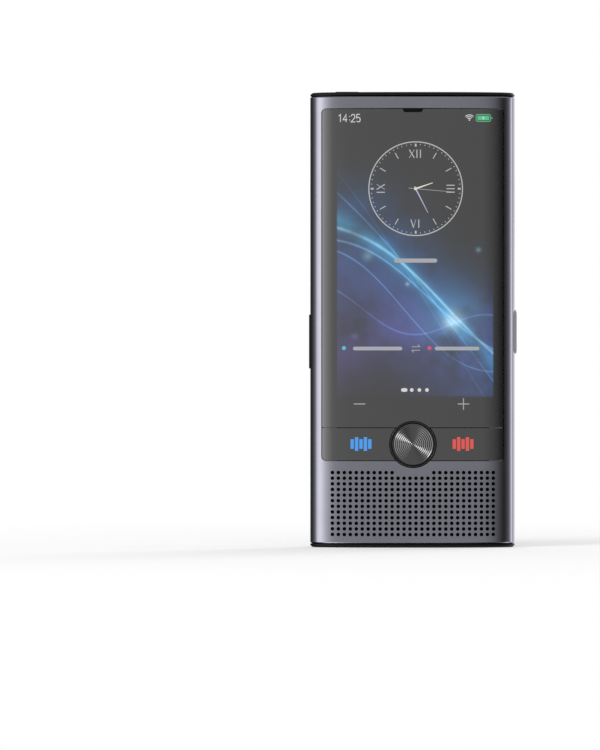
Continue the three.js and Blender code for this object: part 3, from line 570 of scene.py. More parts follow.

# %% [markdown]
# Every finished piece goes through the same last step. It is shaded and turned into metres, it gets its
# finish, it is told which body it rides on, and the CAD pieces it stands for are hidden. One function does
# it, so that no piece can miss a part of it.

# %% Dress a piece
def dress(piece, body, slot, material, *nodes, on_oval=False):
    """Shades a finished piece, turns it into metres, and lets it ride on its body."""
    shade(piece, on_oval)
    piece.data.transform(Matrix.Scale(MM, 4))
    piece.data.materials.clear()
    piece.data.materials.append(material)
    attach(piece, body)
    if nodes:
        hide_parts(*nodes)
    print(piece.name, len(piece.data.polygons), "faces")
    return piece


print("finished pieces are scaled by", MM, "from millimetres to metres")

# %% [markdown]
# ## Effects that the finishes share
# A finish is never one flat colour. Four effects, each a node group, are used again and again: the tone
# drifts a little over a surface, a fine grain catches the light, handling leaves the gloss uneven, and
# woven or printed surfaces repeat in rows. A group gives out only values that change over the surface.

# %% Helpers for groups
def effect(name, inputs, outputs):
    tree = bpy.data.node_groups.new(name, "ShaderNodeTree")
    for label, kind, value in inputs:
        socket = tree.interface.new_socket(name=label, in_out="INPUT", socket_type="NodeSocket" + kind)
        socket.default_value = value
    for label, kind in outputs:
        tree.interface.new_socket(name=label, in_out="OUTPUT", socket_type="NodeSocket" + kind)
    given = tree.nodes.new("NodeGroupInput").outputs
    wanted = tree.nodes.new("NodeGroupOutput").inputs
    return tree, given, wanted


def scaled(tree, vector, factor):
    """A place or a colour times a plain number."""
    made = add_node(tree, "ShaderNodeVectorMath", {0: vector, "Scale": factor}, operation="SCALE")
    return made.outputs[0]


def surface_place(tree, scale, stretch=None):
    place = add_node(tree, "ShaderNodeTexCoord").outputs["Object"]
    if stretch is not None:
        made = add_node(tree, "ShaderNodeVectorMath", {0: place, 1: stretch}, operation="MULTIPLY")
        place = made.outputs[0]
    return scaled(tree, place, scale)


def noise_at(tree, place, detail):
    made = add_node(tree, "ShaderNodeTexNoise", {"Vector": place, "Scale": 1.0, "Detail": detail})
    return made.outputs["Fac"]


print("helpers for groups are ready")

# %% [markdown]
# Each effect starts from the place on the piece, in metres, so that a grain has the same size on a small
# key and on the long sleeve. Noise gives values round one half. What is above it makes the surface a
# little lighter or rougher, and what is below does the opposite.

# %% The four effects
NOISE_MIDDLE = 0.5


def make_tone_drift():
    inputs = (("Colour", "Color", rgba(1, 1, 1)), ("Scale", "Float", 200.0), ("Spread", "Float", 0.1))
    tree, given, wanted = effect("tone_drift", inputs, (("Colour", "Color"),))
    place = surface_place(tree, given["Scale"])
    off = calc(tree, "SUBTRACT", noise_at(tree, place, 3.0), NOISE_MIDDLE)
    share = calc(tree, "MULTIPLY_ADD", off, given["Spread"], 1)
    tree.links.new(scaled(tree, given["Colour"], share), wanted["Colour"])
    return tree


def make_fine_grain():
    stretch = ("Stretch", "Vector", (1.0, 1.0, 1.0))
    tree, given, wanted = effect("fine_grain", (("Scale", "Float", 4000.0), stretch), (("Height", "Float"),))
    place = surface_place(tree, given["Scale"], given["Stretch"])
    tree.links.new(noise_at(tree, place, 2.0), wanted["Height"])
    return tree


def make_handling():
    inputs = (("Roughness", "Float", 0.3), ("Scale", "Float", 120.0), ("Spread", "Float", 0.1))
    tree, given, wanted = effect("handling", inputs, (("Roughness", "Float"),))
    place = surface_place(tree, given["Scale"])
    off = calc(tree, "SUBTRACT", noise_at(tree, place, 4.0), NOISE_MIDDLE)
    rough = calc(tree, "MULTIPLY_ADD", off, given["Spread"], given["Roughness"])
    tree.links.new(rough, wanted["Roughness"])
    return tree


def make_fine_rows():
    """Rows across and up the front, as of a woven mesh or of tracks on a board."""
    inputs = (("Across", "Float", 4000.0), ("Up", "Float", 4000.0), ("Share", "Float", 0.5))
    tree, given, wanted = effect("fine_rows", inputs, (("Mask", "Float"),))
    place = add_node(tree, "ShaderNodeTexCoord").outputs["Object"]
    part = add_node(tree, "ShaderNodeSeparateXYZ", {0: place})
    across = calc(tree, "FRACT", calc(tree, "MULTIPLY", part.outputs["X"], given["Across"]))
    up = calc(tree, "FRACT", calc(tree, "MULTIPLY", part.outputs["Z"], given["Up"]))
    first = calc(tree, "LESS_THAN", across, given["Share"])
    second = calc(tree, "LESS_THAN", up, given["Share"])
    tree.links.new(calc(tree, "MAXIMUM", first, second), wanted["Mask"])
    return tree


made_effects = (make_tone_drift(), make_fine_grain(), make_handling(), make_fine_rows())
EFFECTS = {made.name: made for made in made_effects}
print("effects", sorted(EFFECTS))

# %% [markdown]
# A finish is then one Principled shader with these effects in front of it. Values that are the same all
# over, such as how metallic it is, are set on the shader itself.

# %% Finishes
# Depths of the grain are in metres
GRAIN_SCALE = 5000
GRAIN_DEPTH = 0.000002
GLASS_DEPTH = 0.0000001
COAT_ROUGHNESS = 0.04
DRIFT_SCALE = 160
DRIFT_SPREAD = 0.12
HANDLING_SCALE = 90
HANDLING_SPREAD = 0.06


def use_effect(tree, name, **values):
    made = add_node(tree, "ShaderNodeGroup", node_tree=EFFECTS[name])
    for label, value in values.items():
        wire(tree, value, made.inputs[label])
    return made.outputs[0]


def finish(
    name,
    colour,
    roughness,
    metallic=0.0,
    coat=0.0,
    depth=GRAIN_DEPTH,
    scale=GRAIN_SCALE,
    stretch=(1, 1, 1),
    specular=0.5,
):
    material = bpy.data.materials.new(name)
    material.use_nodes = True
    tree = material.node_tree
    shader = tree.nodes["Principled BSDF"]
    shader.inputs["Metallic"].default_value = metallic
    shader.inputs["Coat Weight"].default_value = coat
    shader.inputs["Specular IOR Level"].default_value = specular
    shader.inputs["Coat Roughness"].default_value = COAT_ROUGHNESS
    tone = use_effect(tree, "tone_drift", Colour=rgba(*colour), Scale=DRIFT_SCALE, Spread=DRIFT_SPREAD)
    rough = use_effect(tree, "handling", Roughness=roughness, Scale=HANDLING_SCALE, Spread=HANDLING_SPREAD)
    grain = use_effect(tree, "fine_grain", Scale=scale, Stretch=stretch)
    bump = add_node(tree, "ShaderNodeBump", {"Strength": 1.0, "Distance": depth, "Height": grain})
    wire(tree, tone, shader.inputs["Base Color"])
    wire(tree, rough, shader.inputs["Roughness"])
    wire(tree, bump.outputs[0], shader.inputs["Normal"])
    return material


def shader_of(material):
    tree = material.node_tree
    return tree, tree.nodes["Principled BSDF"]


def change_tone(material, change):
    """Puts the colour that a function makes of the present one in its place."""
    tree, shader = shader_of(material)
    tone = shader.inputs["Base Color"].links[0].from_socket
    wire(tree, change(tree, tone), shader.inputs["Base Color"])


print("each finish drifts, has a grain and shows handling")

# %% [markdown]
# The outside has few materials: grey anodised aluminium, glass that is black behind, black plastic and a
# silver ring. Aluminium is a metal here, with a dark tint and little roughness, so that the walls show
# in it as soft bands. Glass over black is a dark surface with a clear coat, which renders faster and
# cleaner than real glass and looks the same.

# %% Finishes of the outside
GREY_ALUMINIUM = (0.172, 0.172, 0.2)
GLASS_BLACK = (0.004, 0.004, 0.0042)
sleeve_metal = finish("sleeve_metal", GREY_ALUMINIUM, 0.17, metallic=1.0)
tray_metal = finish("tray_metal", GREY_ALUMINIUM, 0.17, metallic=1.0)
cap_plastic = finish("cap_plastic", (0.004, 0.004, 0.0045), 0.4, specular=0.1)
key_glass = finish("key_glass", GLASS_BLACK, 0.1, coat=1.0, depth=GLASS_DEPTH)
back_panel = finish("back_panel", (0.008, 0.008, 0.009), 0.12, coat=0.5, depth=GLASS_DEPTH)
island_metal = finish("island_metal", (0.045, 0.045, 0.05), 0.34, metallic=0.3)
ring_metal = finish("ring_metal", (0.004, 0.004, 0.0045), 0.16, coat=0.3, depth=0.0000003, specular=0.12)
button_metal = finish("button_metal", (0.072, 0.072, 0.074), 0.17, metallic=1.0, depth=0.0000005)
silver_metal = finish("silver_metal", (0.6, 0.59, 0.57), 0.24, metallic=1.0, depth=0.0000006)
light_key_metal = finish("light_key_metal", (0.28, 0.28, 0.3), 0.32, metallic=1.0)
dark_key_plastic = finish("dark_key_plastic", (0.005, 0.005, 0.006), 0.4, specular=0.1)
print("outside finishes", len(bpy.data.materials))

# %% [markdown]
# Three finishes need more than grain. The woven dust mesh behind the holes lets light fall through between
# its threads, so its height follows fine rows, and so does its colour: the gaps are painted darker, as the
# shade behind the cloth. The boards carry gold tracks in the same way, and the card has the faint lines of
# its print.

# %% Woven and printed finishes
def add_rows(material, across, up, share, colour, height):
    tree, shader = shader_of(material)
    mask = use_effect(tree, "fine_rows", Across=across, Up=up, Share=share)
    change_tone(material, lambda tree, tone: mix_colours(tree, mask, tone, rgba(*colour)))
    bump = shader.inputs["Normal"].links[0].from_node
    grain = bump.inputs["Height"].links[0].from_socket
    wire(tree, calc(tree, "MULTIPLY_ADD", mask, height, grain), bump.inputs["Height"])
    return material


cloth_black = finish("mesh_cloth", (0.002, 0.002, 0.002), 0.8, specular=0.03)
# The threads are a little lighter and raised; the darker gaps are painted shade where light falls through
mesh_cloth = add_rows(cloth_black, 5500, 5500, 0.45, (0.007, 0.007, 0.0075), 4)
plain_board = finish("board_green", (0.01, 0.07, 0.04), 0.45)
board_green = add_rows(plain_board, 900, 640, 0.14, (0.3, 0.2, 0.05), 3)
plain_card = finish("card_white", (0.72, 0.72, 0.7), 0.45)
card_white = add_rows(plain_card, 420, 420, 0.03, (0.55, 0.55, 0.54), -1)
print("rows on", mesh_cloth.name, board_green.name, card_white.name)

# %% [markdown]
# Nothing inside is seen in the photograph, but the tray comes out, and whoever takes the model apart
# sees the rest. So the CAD pieces inside keep their shape and get the finish of what they are made of:
# stamped steel, milled alloy, moulded black plastic, foil, film and paper.

# %% Finishes of the inside
sheet_steel = finish("sheet_steel", (0.52, 0.53, 0.55), 0.34, metallic=1.0, stretch=(1, 1, 0.08))
screw_steel = finish("screw_steel", (0.5, 0.5, 0.52), 0.28, metallic=1.0, stretch=(0.2, 1, 1))
midframe_metal = finish("midframe_metal", (0.33, 0.34, 0.36), 0.42, metallic=1.0, stretch=(0.08, 1, 1))
battery_foil = finish("battery_foil", (0.06, 0.06, 0.07), 0.38, metallic=0.5, depth=0.00001, scale=700)
black_moulding = finish("black_moulding", (0.012, 0.012, 0.013), 0.48, depth=0.000004, scale=3000)
cone_paper = finish("cone_paper", (0.03, 0.03, 0.032), 0.7, depth=0.00001, scale=2500)
ribbon_film = finish("ribbon_film", (0.42, 0.18, 0.03), 0.35, coat=0.3, stretch=(1, 1, 0.05), depth=0.00001)
gold_plate = finish("gold_plate", (0.78, 0.52, 0.18), 0.25, metallic=1.0)
phosphor = finish("phosphor", (0.75, 0.62, 0.08), 0.6, depth=0.000008, scale=3500)
screen_panel = finish("screen_panel", (0.01, 0.01, 0.012), 0.2, coat=0.4)
# Each finish, and the nodes that get it
INSIDE = (
    (mesh_cloth, ("earpiece_mesh", "speaker_mesh")),
    (screen_panel, ("display_module",)),
    (board_green, ("key_board", "main_board", "lower_board")),
    (midframe_metal, ("midframe",)),
    (card_white, ("sim_card",)),
    (black_moulding, ("earpiece_receiver", "upper_camera_module", "lower_camera_module")),
    (black_moulding, ("processor", "usb_tongue", "speaker_box")),
    (cone_paper, ("speaker_cone",)),
    (phosphor, ("flash_led",)),
    (battery_foil, ("battery",)),
    (ribbon_film, ("board_ribbon",)),
    (gold_plate, ("microphone",)),
    (sheet_steel, ("left_key_dome", "round_button_dome", "right_key_dome")),
    (sheet_steel, ("power_switch", "left_side_switch", "right_side_switch")),
    (sheet_steel, ("sim_socket", "camera_bracket", "shield_can", "usb_shell", "vibration_motor")),
    (screw_steel, ("board_screw_1", "board_screw_2", "board_screw_3", "board_screw_4")),
    (screw_steel, ("lower_screw_1", "lower_screw_2")),
)
for inside_finish, node_names in INSIDE:
    for node_name in node_names:
        node_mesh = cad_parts[node_name].data
        node_mesh.materials.clear()
        node_mesh.materials.append(inside_finish)
print(sum(len(names) for made, names in INSIDE), "CAD nodes keep their shape and get a finish")

# %% [markdown]
# ## The sleeve
# On the real device the sleeve is an extruded aluminium tube. It is cut to length, its ends are
# chamfered, and then the window, the back recess, the slots and the speaker holes are milled or
# drilled. The script makes it in the same order: a tube from six loops, then one cut after another.
# Drawing the pierced wall face by face would be harder to read and no smoother.

# %% Sleeve tube
WALL = 1.1
CAP_BAND = 0.8
SLIDE = 0.1
SEAM = 0.2
SLEEVE_BOTTOM = CAP_BAND + SLIDE
SLEEVE_TOP = HEIGHT - SLEEVE_BOTTOM
CHAMFER_HEIGHT = 0.4
CHAMFER_INSET = 0.3
FAR = 20


def sleeve_loops():
    return [
        oval_loop(CHAMFER_INSET, SLEEVE_BOTTOM),
        oval_loop(0, SLEEVE_BOTTOM + CHAMFER_HEIGHT),
        oval_loop(0, SLEEVE_TOP - CHAMFER_HEIGHT),
        oval_loop(CHAMFER_INSET, SLEEVE_TOP),
    ]


def oval_rod(name, inset):
    return skin(name, [oval_loop(inset, -FAR), oval_loop(inset, HEIGHT + FAR)])


def sleeve_tube():
    loops = sleeve_loops() + [oval_loop(WALL, SLEEVE_TOP), oval_loop(WALL, SLEEVE_BOTTOM)]
    return skin("sleeve_shell", loops, ring=True)


print("the tube stands from", SLEEVE_BOTTOM, "to", round(SLEEVE_TOP, 2), "mm")

# %% [markdown]
# The openings in front and at the sides are cut by simple tools: outlines pushed straight through the
# wall. The holes of the grille are one tool too, a block of short drills in rows, which leaves out those
# that would run into the round button.

# %% Front window, grille and side slots
GLASS_SIDE = 22.1
GLASS_TOP = 106.85
KEY_BOTTOM = 21.267
KEY_TOP = 29.097
GLASS_BOTTOM = KEY_TOP + SEAM
BUTTON_LEVEL = (KEY_BOTTOM + KEY_TOP) / 2
RING_RADIUS = 5.6
WINDOW_CORNER = 1.2
COLUMNS = 28
ROWS = 12
COLUMN_PITCH = 1.452
ROW_PITCH = 1.3715
LOWEST_ROW = 3.2
HOLE_RADIUS = 0.45
HOLE_SIDES = 20
GRILLE_DRILL_END = -1
CLEAR_OF_BUTTON = 8.0
# Level of the middle and length of each slot in the sides
LEFT_KEY = (50.25, 13.3)
RIGHT_KEY = (52.6, 10.6)
TRAY = (82.15, 17.1)
SIDE_KEY_WIDTH = 2.2
TRAY_WIDTH = 1.6
SIDE_TOOL_START = 20


def front_tool(name, outline):
    return prism(name, "Y", outline, -FAR, 0)


def grille_drill():
    shape = bmesh.new()
    count = 0
    for row in range(ROWS):
        for column in range(COLUMNS):
            across = (column - (COLUMNS - 1) / 2) * COLUMN_PITCH
            level = LOWEST_ROW + row * ROW_PITCH
            if math.hypot(across, level - BUTTON_LEVEL) > CLEAR_OF_BUTTON:
                outline = circle(across, level, HOLE_RADIUS, HOLE_SIDES)
                add_skin(shape, [stand("Y", outline, -FAR), stand("Y", outline, GRILLE_DRILL_END)])
                count += 1
    print("grille holes", count)
    return piece_of("grille_drill", shape)


def side_tool(side, place, width, gap):
    level, length = place
    outline = slot_outline(0, level, width + 2 * gap, length + 2 * gap)
    return prism("side_tool", "X", outline, side * SIDE_TOOL_START, side * (HALF_WIDTH + FAR))


print("grille of", ROWS, "rows and", COLUMNS, "columns")

# %% [markdown]
# The back panel lies in a recess whose floor follows the oval, so that glass and metal are flush. A
# pocket under the island and three round holes let the camera barrels and the flash through.

# %% Back recess, island pocket and the whole sleeve
BACK_SIDE = 20.25
BACK_BOTTOM = 87.1
BACK_THICKNESS = 0.6
BACK_CORNER = 1
ISLAND_SIDE = 4.3
ISLAND_BOTTOM = 88.6
ISLAND_TOP = 108.7
ISLAND_CORNER = 1.2
ISLAND_BASE = 4.9
ISLAND_FACE = 5.85
UPPER_CAMERA = 104.5
FLASH = 98.5
LOWER_CAMERA = 92.8
BARREL_HOLES = ((UPPER_CAMERA, 2.2), (LOWER_CAMERA, 1.6), (FLASH, 1.9))


def back_outline(gap, top):
    side = BACK_SIDE + gap
    return rounded_rect(-side, side, BACK_BOTTOM - gap, top, BACK_CORNER + gap)


def island_outline(gap):
    side = ISLAND_SIDE + gap
    return rounded_rect(-side, side, ISLAND_BOTTOM - gap, ISLAND_TOP + gap, ISLAND_CORNER + gap)


def ring_room(gap):
    return front_tool("ring_room", circle(0, BUTTON_LEVEL, RING_RADIUS + gap))


def sleeve_shell():
    recess = prism("recess", "Y", back_outline(SEAM, HEIGHT + FAR), 0, FAR)
    cut(recess, oval_rod("recess_floor", BACK_THICKNESS + SLIDE))
    side = GLASS_SIDE + SEAM
    window = rounded_rect(-side, side, KEY_BOTTOM - SEAM, GLASS_TOP + SEAM, WINDOW_CORNER)
    tools = [
        front_tool("window", window),
        ring_room(SEAM),
        recess,
        prism("pocket", "Y", island_outline(SEAM), ISLAND_BASE, FAR),
        side_tool(-1, LEFT_KEY, SIDE_KEY_WIDTH, SEAM),
        side_tool(1, RIGHT_KEY, SIDE_KEY_WIDTH, SEAM),
        side_tool(1, TRAY, TRAY_WIDTH, SLIDE),
        grille_drill(),
    ]
    tools += [prism("barrel", "Y", circle(0, level, radius), 0, FAR) for level, radius in BARREL_HOLES]
    return cut(sleeve_tube(), *tools)


dress(sleeve_shell(), "device", "sleeve_metal", sleeve_metal, "housing_sleeve", on_oval=True)

# %% [markdown]
# ## The end caps
# Each end is closed by a moulded black cap. Its rim rolls over in a quarter round, and a plug with a
# hollow enters the sleeve. A skin through loops at growing insets gives the round rim directly.

# %% Caps
CAP_EDGE_INSET = 0.9
CAP_EDGE_STEPS = 8
CAP_PLATE = 1.4
PLUG_DEPTH = 1.6
PLUG_INSET = 1.2
PLUG_HOLLOW_SIDE = 20.5
PLUG_HOLLOW_EDGE = 1.73
PLUG_HOLLOW_CORNER = 1
PORT_WIDTH = 8.94
PORT_HEIGHT = 3.16
# Across, towards the back, and radius
MICROPHONE_HOLE = (9.5, 1.03, 0.5)
POWER_MIDDLE = -15.95
POWER_SIDE = 3.2
POWER_EDGE = 0.9


def end_cap(name, top):
    def at(level):
        return HEIGHT - level if top else level

    loops = []
    for step in range(CAP_EDGE_STEPS + 1):
        turn = math.pi / 2 * step / CAP_EDGE_STEPS
        loops.append(oval_loop(CAP_EDGE_INSET * (1 - math.sin(turn)), at(CAP_BAND * (1 - math.cos(turn)))))
    loops.append(oval_loop(PLUG_INSET, at(CAP_BAND)))
    loops.append(oval_loop(PLUG_INSET, at(CAP_BAND + PLUG_DEPTH)))
    side = PLUG_HOLLOW_SIDE
    edge = PLUG_HOLLOW_EDGE
    outline = rounded_rect(-side, side, -edge, edge, PLUG_HOLLOW_CORNER)
    return cut(skin(name, loops), prism("hollow", "Z", outline, at(CAP_PLATE), at(FAR)))


def upright_tool(outline, reach):
    return prism("upright_tool", "Z", outline, -reach, reach)


def power_outline(gap):
    side = POWER_SIDE + gap
    edge = POWER_EDGE + gap
    return rounded_rect(POWER_MIDDLE - side, POWER_MIDDLE + side, -edge, edge, edge / 2)


port_mouth = slot_outline(0, 0, PORT_HEIGHT + 2 * SLIDE, PORT_WIDTH + 2 * SLIDE, flat=True)
bottom_shape = cut(
    end_cap("bottom_end_cap", False),
    upright_tool(port_mouth, FAR),
    upright_tool(circle(*MICROPHONE_HOLE, HOLE_SIDES), FAR),
)
dress(bottom_shape, "device", "cap_plastic", cap_plastic, "bottom_cap", on_oval=True)
top_shape = cut(end_cap("top_end_cap", True), upright_tool(power_outline(SEAM), HEIGHT + FAR))
dress(top_shape, "device", "cap_plastic", cap_plastic, "top_cap", on_oval=True)

# %% [markdown]
# ## The front glass and its picture
# The glass is one curved sheet with soft edges, printed black from behind, and the lit screen shows
# through it. Light that has to cross two sheets of clear glass renders slowly and noisily, so here the
# picture is in the glass's own finish: what is lit glows, and the gloss lies over it as on the real one.
# The picture is a plain design of flowing light in blue and grey.

# %% A ribbon of light
RIBBON_VALUES = ("Level", "Slope", "Swing", "Turns", "Phase", "Width")


def make_light_ribbon():
    """How strongly a band of light glows at a place. It swings about a line across the screen."""
    inputs = [(label, "Float", 0.5) for label in ("Across", "Up") + RIBBON_VALUES]
    tree, given, wanted = effect("light_ribbon", inputs, (("Glow", "Float"),))
    phase = calc(tree, "MULTIPLY_ADD", given["Across"], given["Turns"], given["Phase"])
    swing = calc(tree, "SINE", calc(tree, "MULTIPLY", phase, 2 * math.pi))
    straight = calc(tree, "MULTIPLY_ADD", given["Across"], given["Slope"], given["Level"])
    middle = calc(tree, "MULTIPLY_ADD", swing, given["Swing"], straight)
    off = calc(tree, "DIVIDE", calc(tree, "SUBTRACT", given["Up"], middle), given["Width"])
    fall = calc(tree, "MULTIPLY", calc(tree, "MULTIPLY", off, off), -1)
    tree.links.new(calc(tree, "EXPONENT", fall), wanted["Glow"])
    return tree


EFFECTS["light_ribbon"] = make_light_ribbon()
print("effects", sorted(EFFECTS))

# %% [markdown]
# Each band is six numbers and a colour, and each soft light is three numbers and a colour. Places are
# shares of the picture's width and height, so the design keeps its form if the screen changes. A painted
# image would be easier to draw, but it would blur from near by.

# %% Bands and soft lights of the picture
PICTURE_LEFT = -18.7
PICTURE_RIGHT = 19.8
PICTURE_BOTTOM = 36.4
PICTURE_TOP = 105.9
# Level, slope, swing, turns, phase and width of each band, then the colour of its light
RIBBONS = (
    ((0.66, -0.5, 0.05, 0.55, 0.1, 0.2), (0.004, 0.05, 0.15)),
    ((0.36, -0.22, 0.06, 0.5, 0.3, 0.17), (0.018, 0.03, 0.12)),
    ((0.16, 0.1, 0.04, 0.8, 0.0, 0.12), (0.03, 0.02, 0.09)),
    ((0.6, -0.44, 0.05, 0.55, 0.1, 0.035), (0.02, 0.2, 0.33)),
    ((0.57, -0.36, 0.06, 0.6, 0.08, 0.006), (0.22, 0.4, 0.46)),
    ((0.5, -0.26, 0.07, 0.6, 0.14, 0.004), (0.1, 0.24, 0.36)),
    ((0.44, -0.3, 0.08, 0.7, 0.2, 0.003), (0.06, 0.16, 0.3)),
    ((0.7, -0.62, 0.04, 0.5, 0.1, 0.004), (0.05, 0.18, 0.3)),
    ((0.33, -0.1, 0.06, 0.9, 0.35, 0.003), (0.05, 0.1, 0.24)),
    ((0.78, -0.8, 0.03, 0.6, 0.1, 0.003), (0.02, 0.08, 0.2)),
)
# Across, up, size and colour of each soft light
BLOOMS = (
    ((0.74, 0.27, 0.055), (0.45, 0.5, 0.42)),
    ((0.74, 0.27, 0.16), (0.02, 0.14, 0.18)),
    ((0.2, 0.5, 0.03), (0.1, 0.2, 0.22)),
    ((0.45, 0.4, 0.012), (0.2, 0.26, 0.28)),
    ((0.9, 0.52, 0.015), (0.1, 0.2, 0.26)),
    ((0.12, 0.22, 0.02), (0.1, 0.1, 0.2)),
)
print(len(RIBBONS), "bands and", len(BLOOMS), "soft lights make the picture")

# %% [markdown]
# Light adds up: where two bands cross, the screen is brighter. So each colour is multiplied by its glow,
# all of them are added, and the sum is dimmed by a haze and toward the edges. Painted layers would hide
# each other, which light never does.

# %% The picture in the glass
# The fades are shares of the picture's width and height, and the haze is dark and full at two values
EDGE_FADE = 0.012
TOP_FADE = (0.9, 0.55)
HAZE_SCALE = 90.0
HAZE_DETAIL = 5.0
HAZE_RANGE = (0.18, 0.72)
BLOOM_FLATTENING = 70


def bloom(tree, across, up, middle, level, size):
    side = calc(tree, "DIVIDE", calc(tree, "SUBTRACT", across, middle), size)
    height = size * (PICTURE_RIGHT - PICTURE_LEFT) / BLOOM_FLATTENING
    rise = calc(tree, "DIVIDE", calc(tree, "SUBTRACT", up, level), height)
    square = calc(tree, "MULTIPLY_ADD", side, side, calc(tree, "MULTIPLY", rise, rise))
    return calc(tree, "EXPONENT", calc(tree, "MULTIPLY", square, -1))


def picture_share(tree, value, low, high):
    """Where a place lies between two edges of the picture, as a share that goes on past them."""
    wired = {"Value": value, "From Min": low * MM, "From Max": high * MM}
    return add_node(tree, "ShaderNodeMapRange", wired, clamp=False).outputs["Result"]


def picture_light(tree):
    place = add_node(tree, "ShaderNodeTexCoord").outputs["Object"]
    part = add_node(tree, "ShaderNodeSeparateXYZ", {0: place})
    across = picture_share(tree, part.outputs["X"], PICTURE_LEFT, PICTURE_RIGHT)
    up = picture_share(tree, part.outputs["Z"], PICTURE_BOTTOM, PICTURE_TOP)
    lights = []
    for shape, colour in RIBBONS:
        values = dict(zip(RIBBON_VALUES, shape))
        glow = use_effect(tree, "light_ribbon", Across=across, Up=up, **values)
        lights.append(scaled(tree, colour, glow))
    for (middle, level, size), colour in BLOOMS:
        lights.append(scaled(tree, colour, bloom(tree, across, up, middle, level, size)))
    total = lights[0]
    for light in lights[1:]:
        total = add_node(tree, "ShaderNodeVectorMath", {0: total, 1: light}).outputs[0]
    wired = {"Vector": place, "Scale": HAZE_SCALE, "Detail": HAZE_DETAIL}
    haze = add_node(tree, "ShaderNodeTexNoise", wired).outputs["Fac"]
    fades = (
        smooth_share(tree, haze, *HAZE_RANGE),
        smooth_share(tree, across, 0.0, EDGE_FADE),
        smooth_share(tree, across, 1.0, 1.0 - EDGE_FADE),
        smooth_share(tree, up, 0.0, EDGE_FADE),
        smooth_share(tree, up, *TOP_FADE),
    )
    for fade in fades:
        total = scaled(tree, total, fade)
    return total


def screen_glass():
    material = finish("screen_glass", GLASS_BLACK, 0.1, coat=1.0, depth=GLASS_DEPTH)
    tree, shader = shader_of(material)
    wire(tree, picture_light(tree), shader.inputs["Emission Color"])
    shader.inputs["Emission Strength"].default_value = 1
    return material


front_finish = screen_glass()
print(front_finish.name, "has", len(front_finish.node_tree.nodes), "nodes")

# %% [markdown]
# A sheet of curved glass is slumped over a mould, then ground to its outline. The script does the same:
# a bar with the curve of the oval in front and behind, kept only inside the outline of the sheet.

# %% Glass sheets that follow the oval
GLASS_THICKNESS = 0.9
KEY_THICKNESS = 1.2
SHEET_STEP = 0.25
SHEET_SPARE = 1
GLASS_EDGE = 0.14
CORNER = 1.0
SEAM_CORNER = 0.15
# Half width and level of the earpiece's lower edge, then of its upper edge
EARPIECE = ((2.05, 106.12), (2.9, 106.85))


def curved_bar(name, thickness, side, bottom, top):
    """A bar along Z, curved in front as the oval and behind as the oval inside it."""
    count = round(2 * side / SHEET_STEP)
    places = [-side + 2 * side * step / count for step in range(count + 1)]
    outline = [(x, -oval_depth(x)) for x in places]
    outline += [(x, -oval_depth(x, thickness)) for x in reversed(places)]
    return prism(name, "Z", outline, bottom, top)


def curved_sheet(name, thickness, outline):
    levels = [level for across, level in outline]
    bottom = min(levels) - SHEET_SPARE
    top = max(levels) + SHEET_SPARE
    bar = curved_bar(name, thickness, GLASS_SIDE + SHEET_SPARE, bottom, top)
    return keep(bar, front_tool("outline", outline))


def face_outline(bottom, top, low_corner, high_corner):
    return rounded_rect(-GLASS_SIDE, GLASS_SIDE, bottom, top, high_corner, low_radius=low_corner)


def earpiece_cut():
    (low_half, low), (high_half, high) = EARPIECE
    low_side = low_half + SLIDE
    high_side = high_half + SLIDE
    bottom = low - SLIDE
    top = high + SHEET_SPARE
    outline = [(-low_side, bottom), (low_side, bottom), (high_side, top), (-high_side, top)]
    return front_tool("earpiece_cut", outline)


glass_outline = face_outline(GLASS_BOTTOM, GLASS_TOP, SEAM_CORNER, CORNER)
glass_shape = curved_sheet("screen_cover", GLASS_THICKNESS, glass_outline)
cut(glass_shape, ring_room(SLIDE), earpiece_cut())
soften(glass_shape, GLASS_EDGE)
dress(glass_shape, "device", "front_glass", front_finish, "front_glass", on_oval=True)

# %% [markdown]
# ## The voice keys, the ring and the round button
# The two voice keys are cut from the same curve as the glass, one at each side of the button. Below
# each is a plunger that presses a dome. The button is turned metal: its fine concentric grooves catch
# the lamp in a bow-tie of light, which only real grooves do at every angle.

# %% Voice keys
# How far across the plunger is, and its radius
KEY_PLUNGER = (12.4, 1.2)
KEY_PLUNGER_END = -2.78
KEY_BACK = -2.55


def voice_key(name, side):
    outline = face_outline(KEY_BOTTOM, KEY_TOP, CORNER, SEAM_CORNER)
    plate = cut(curved_sheet(name, KEY_THICKNESS, outline), ring_room(SEAM))
    outer = side * FAR * 2
    half = [(0, 0), (outer, 0), (outer, HEIGHT), (0, HEIGHT)]
    keep(plate, prism("half", "Y", half, -FAR, KEY_BACK))
    soften(plate, GLASS_EDGE)
    across, radius = KEY_PLUNGER
    start = KEY_THICKNESS / 2 - oval_depth(across)
    plunger = circle(side * across, BUTTON_LEVEL, radius, HOLE_SIDES)
    return join(plate, prism("plunger", "Y", plunger, start, KEY_PLUNGER_END))


for key_side, side_name in ((-1, "left"), (1, "right")):
    key_plate = voice_key(side_name + "_voice_key_plate", key_side)
    key_body = side_name + "_voice_key"
    dress(key_plate, key_body, "key_face", key_glass, side_name + "_key", on_oval=True)

# %% [markdown]
# Both are turned parts, so each is one profile taken round the middle of the button. The ring is a band
# with rounded edges, and the button a shallow dish with V-shaped grooves. A bump in the finish could
# stand for the grooves, but it would be flat from the side and would shimmer from far away.

# %% Ring and round button
RING_WIDTH = 0.35
RING_FACE = -5.85
RING_ROUND = 0.17
BUTTON_RADIUS = 5.05
BUTTON_RIM = -5.5
BUTTON_DISH = 0.2
BUTTON_GROOVES = 11
GROOVE_DEPTH = 0.12
STEPS_A_GROOVE = 8
BUTTON_ROUND = 0.05
BUTTON_STEM_RADIUS = 1.5
ROUND_STEPS = 4
# How far back the wide part of the button reaches, as a share of its whole depth
BUTTON_BACK_SHARE = 0.7


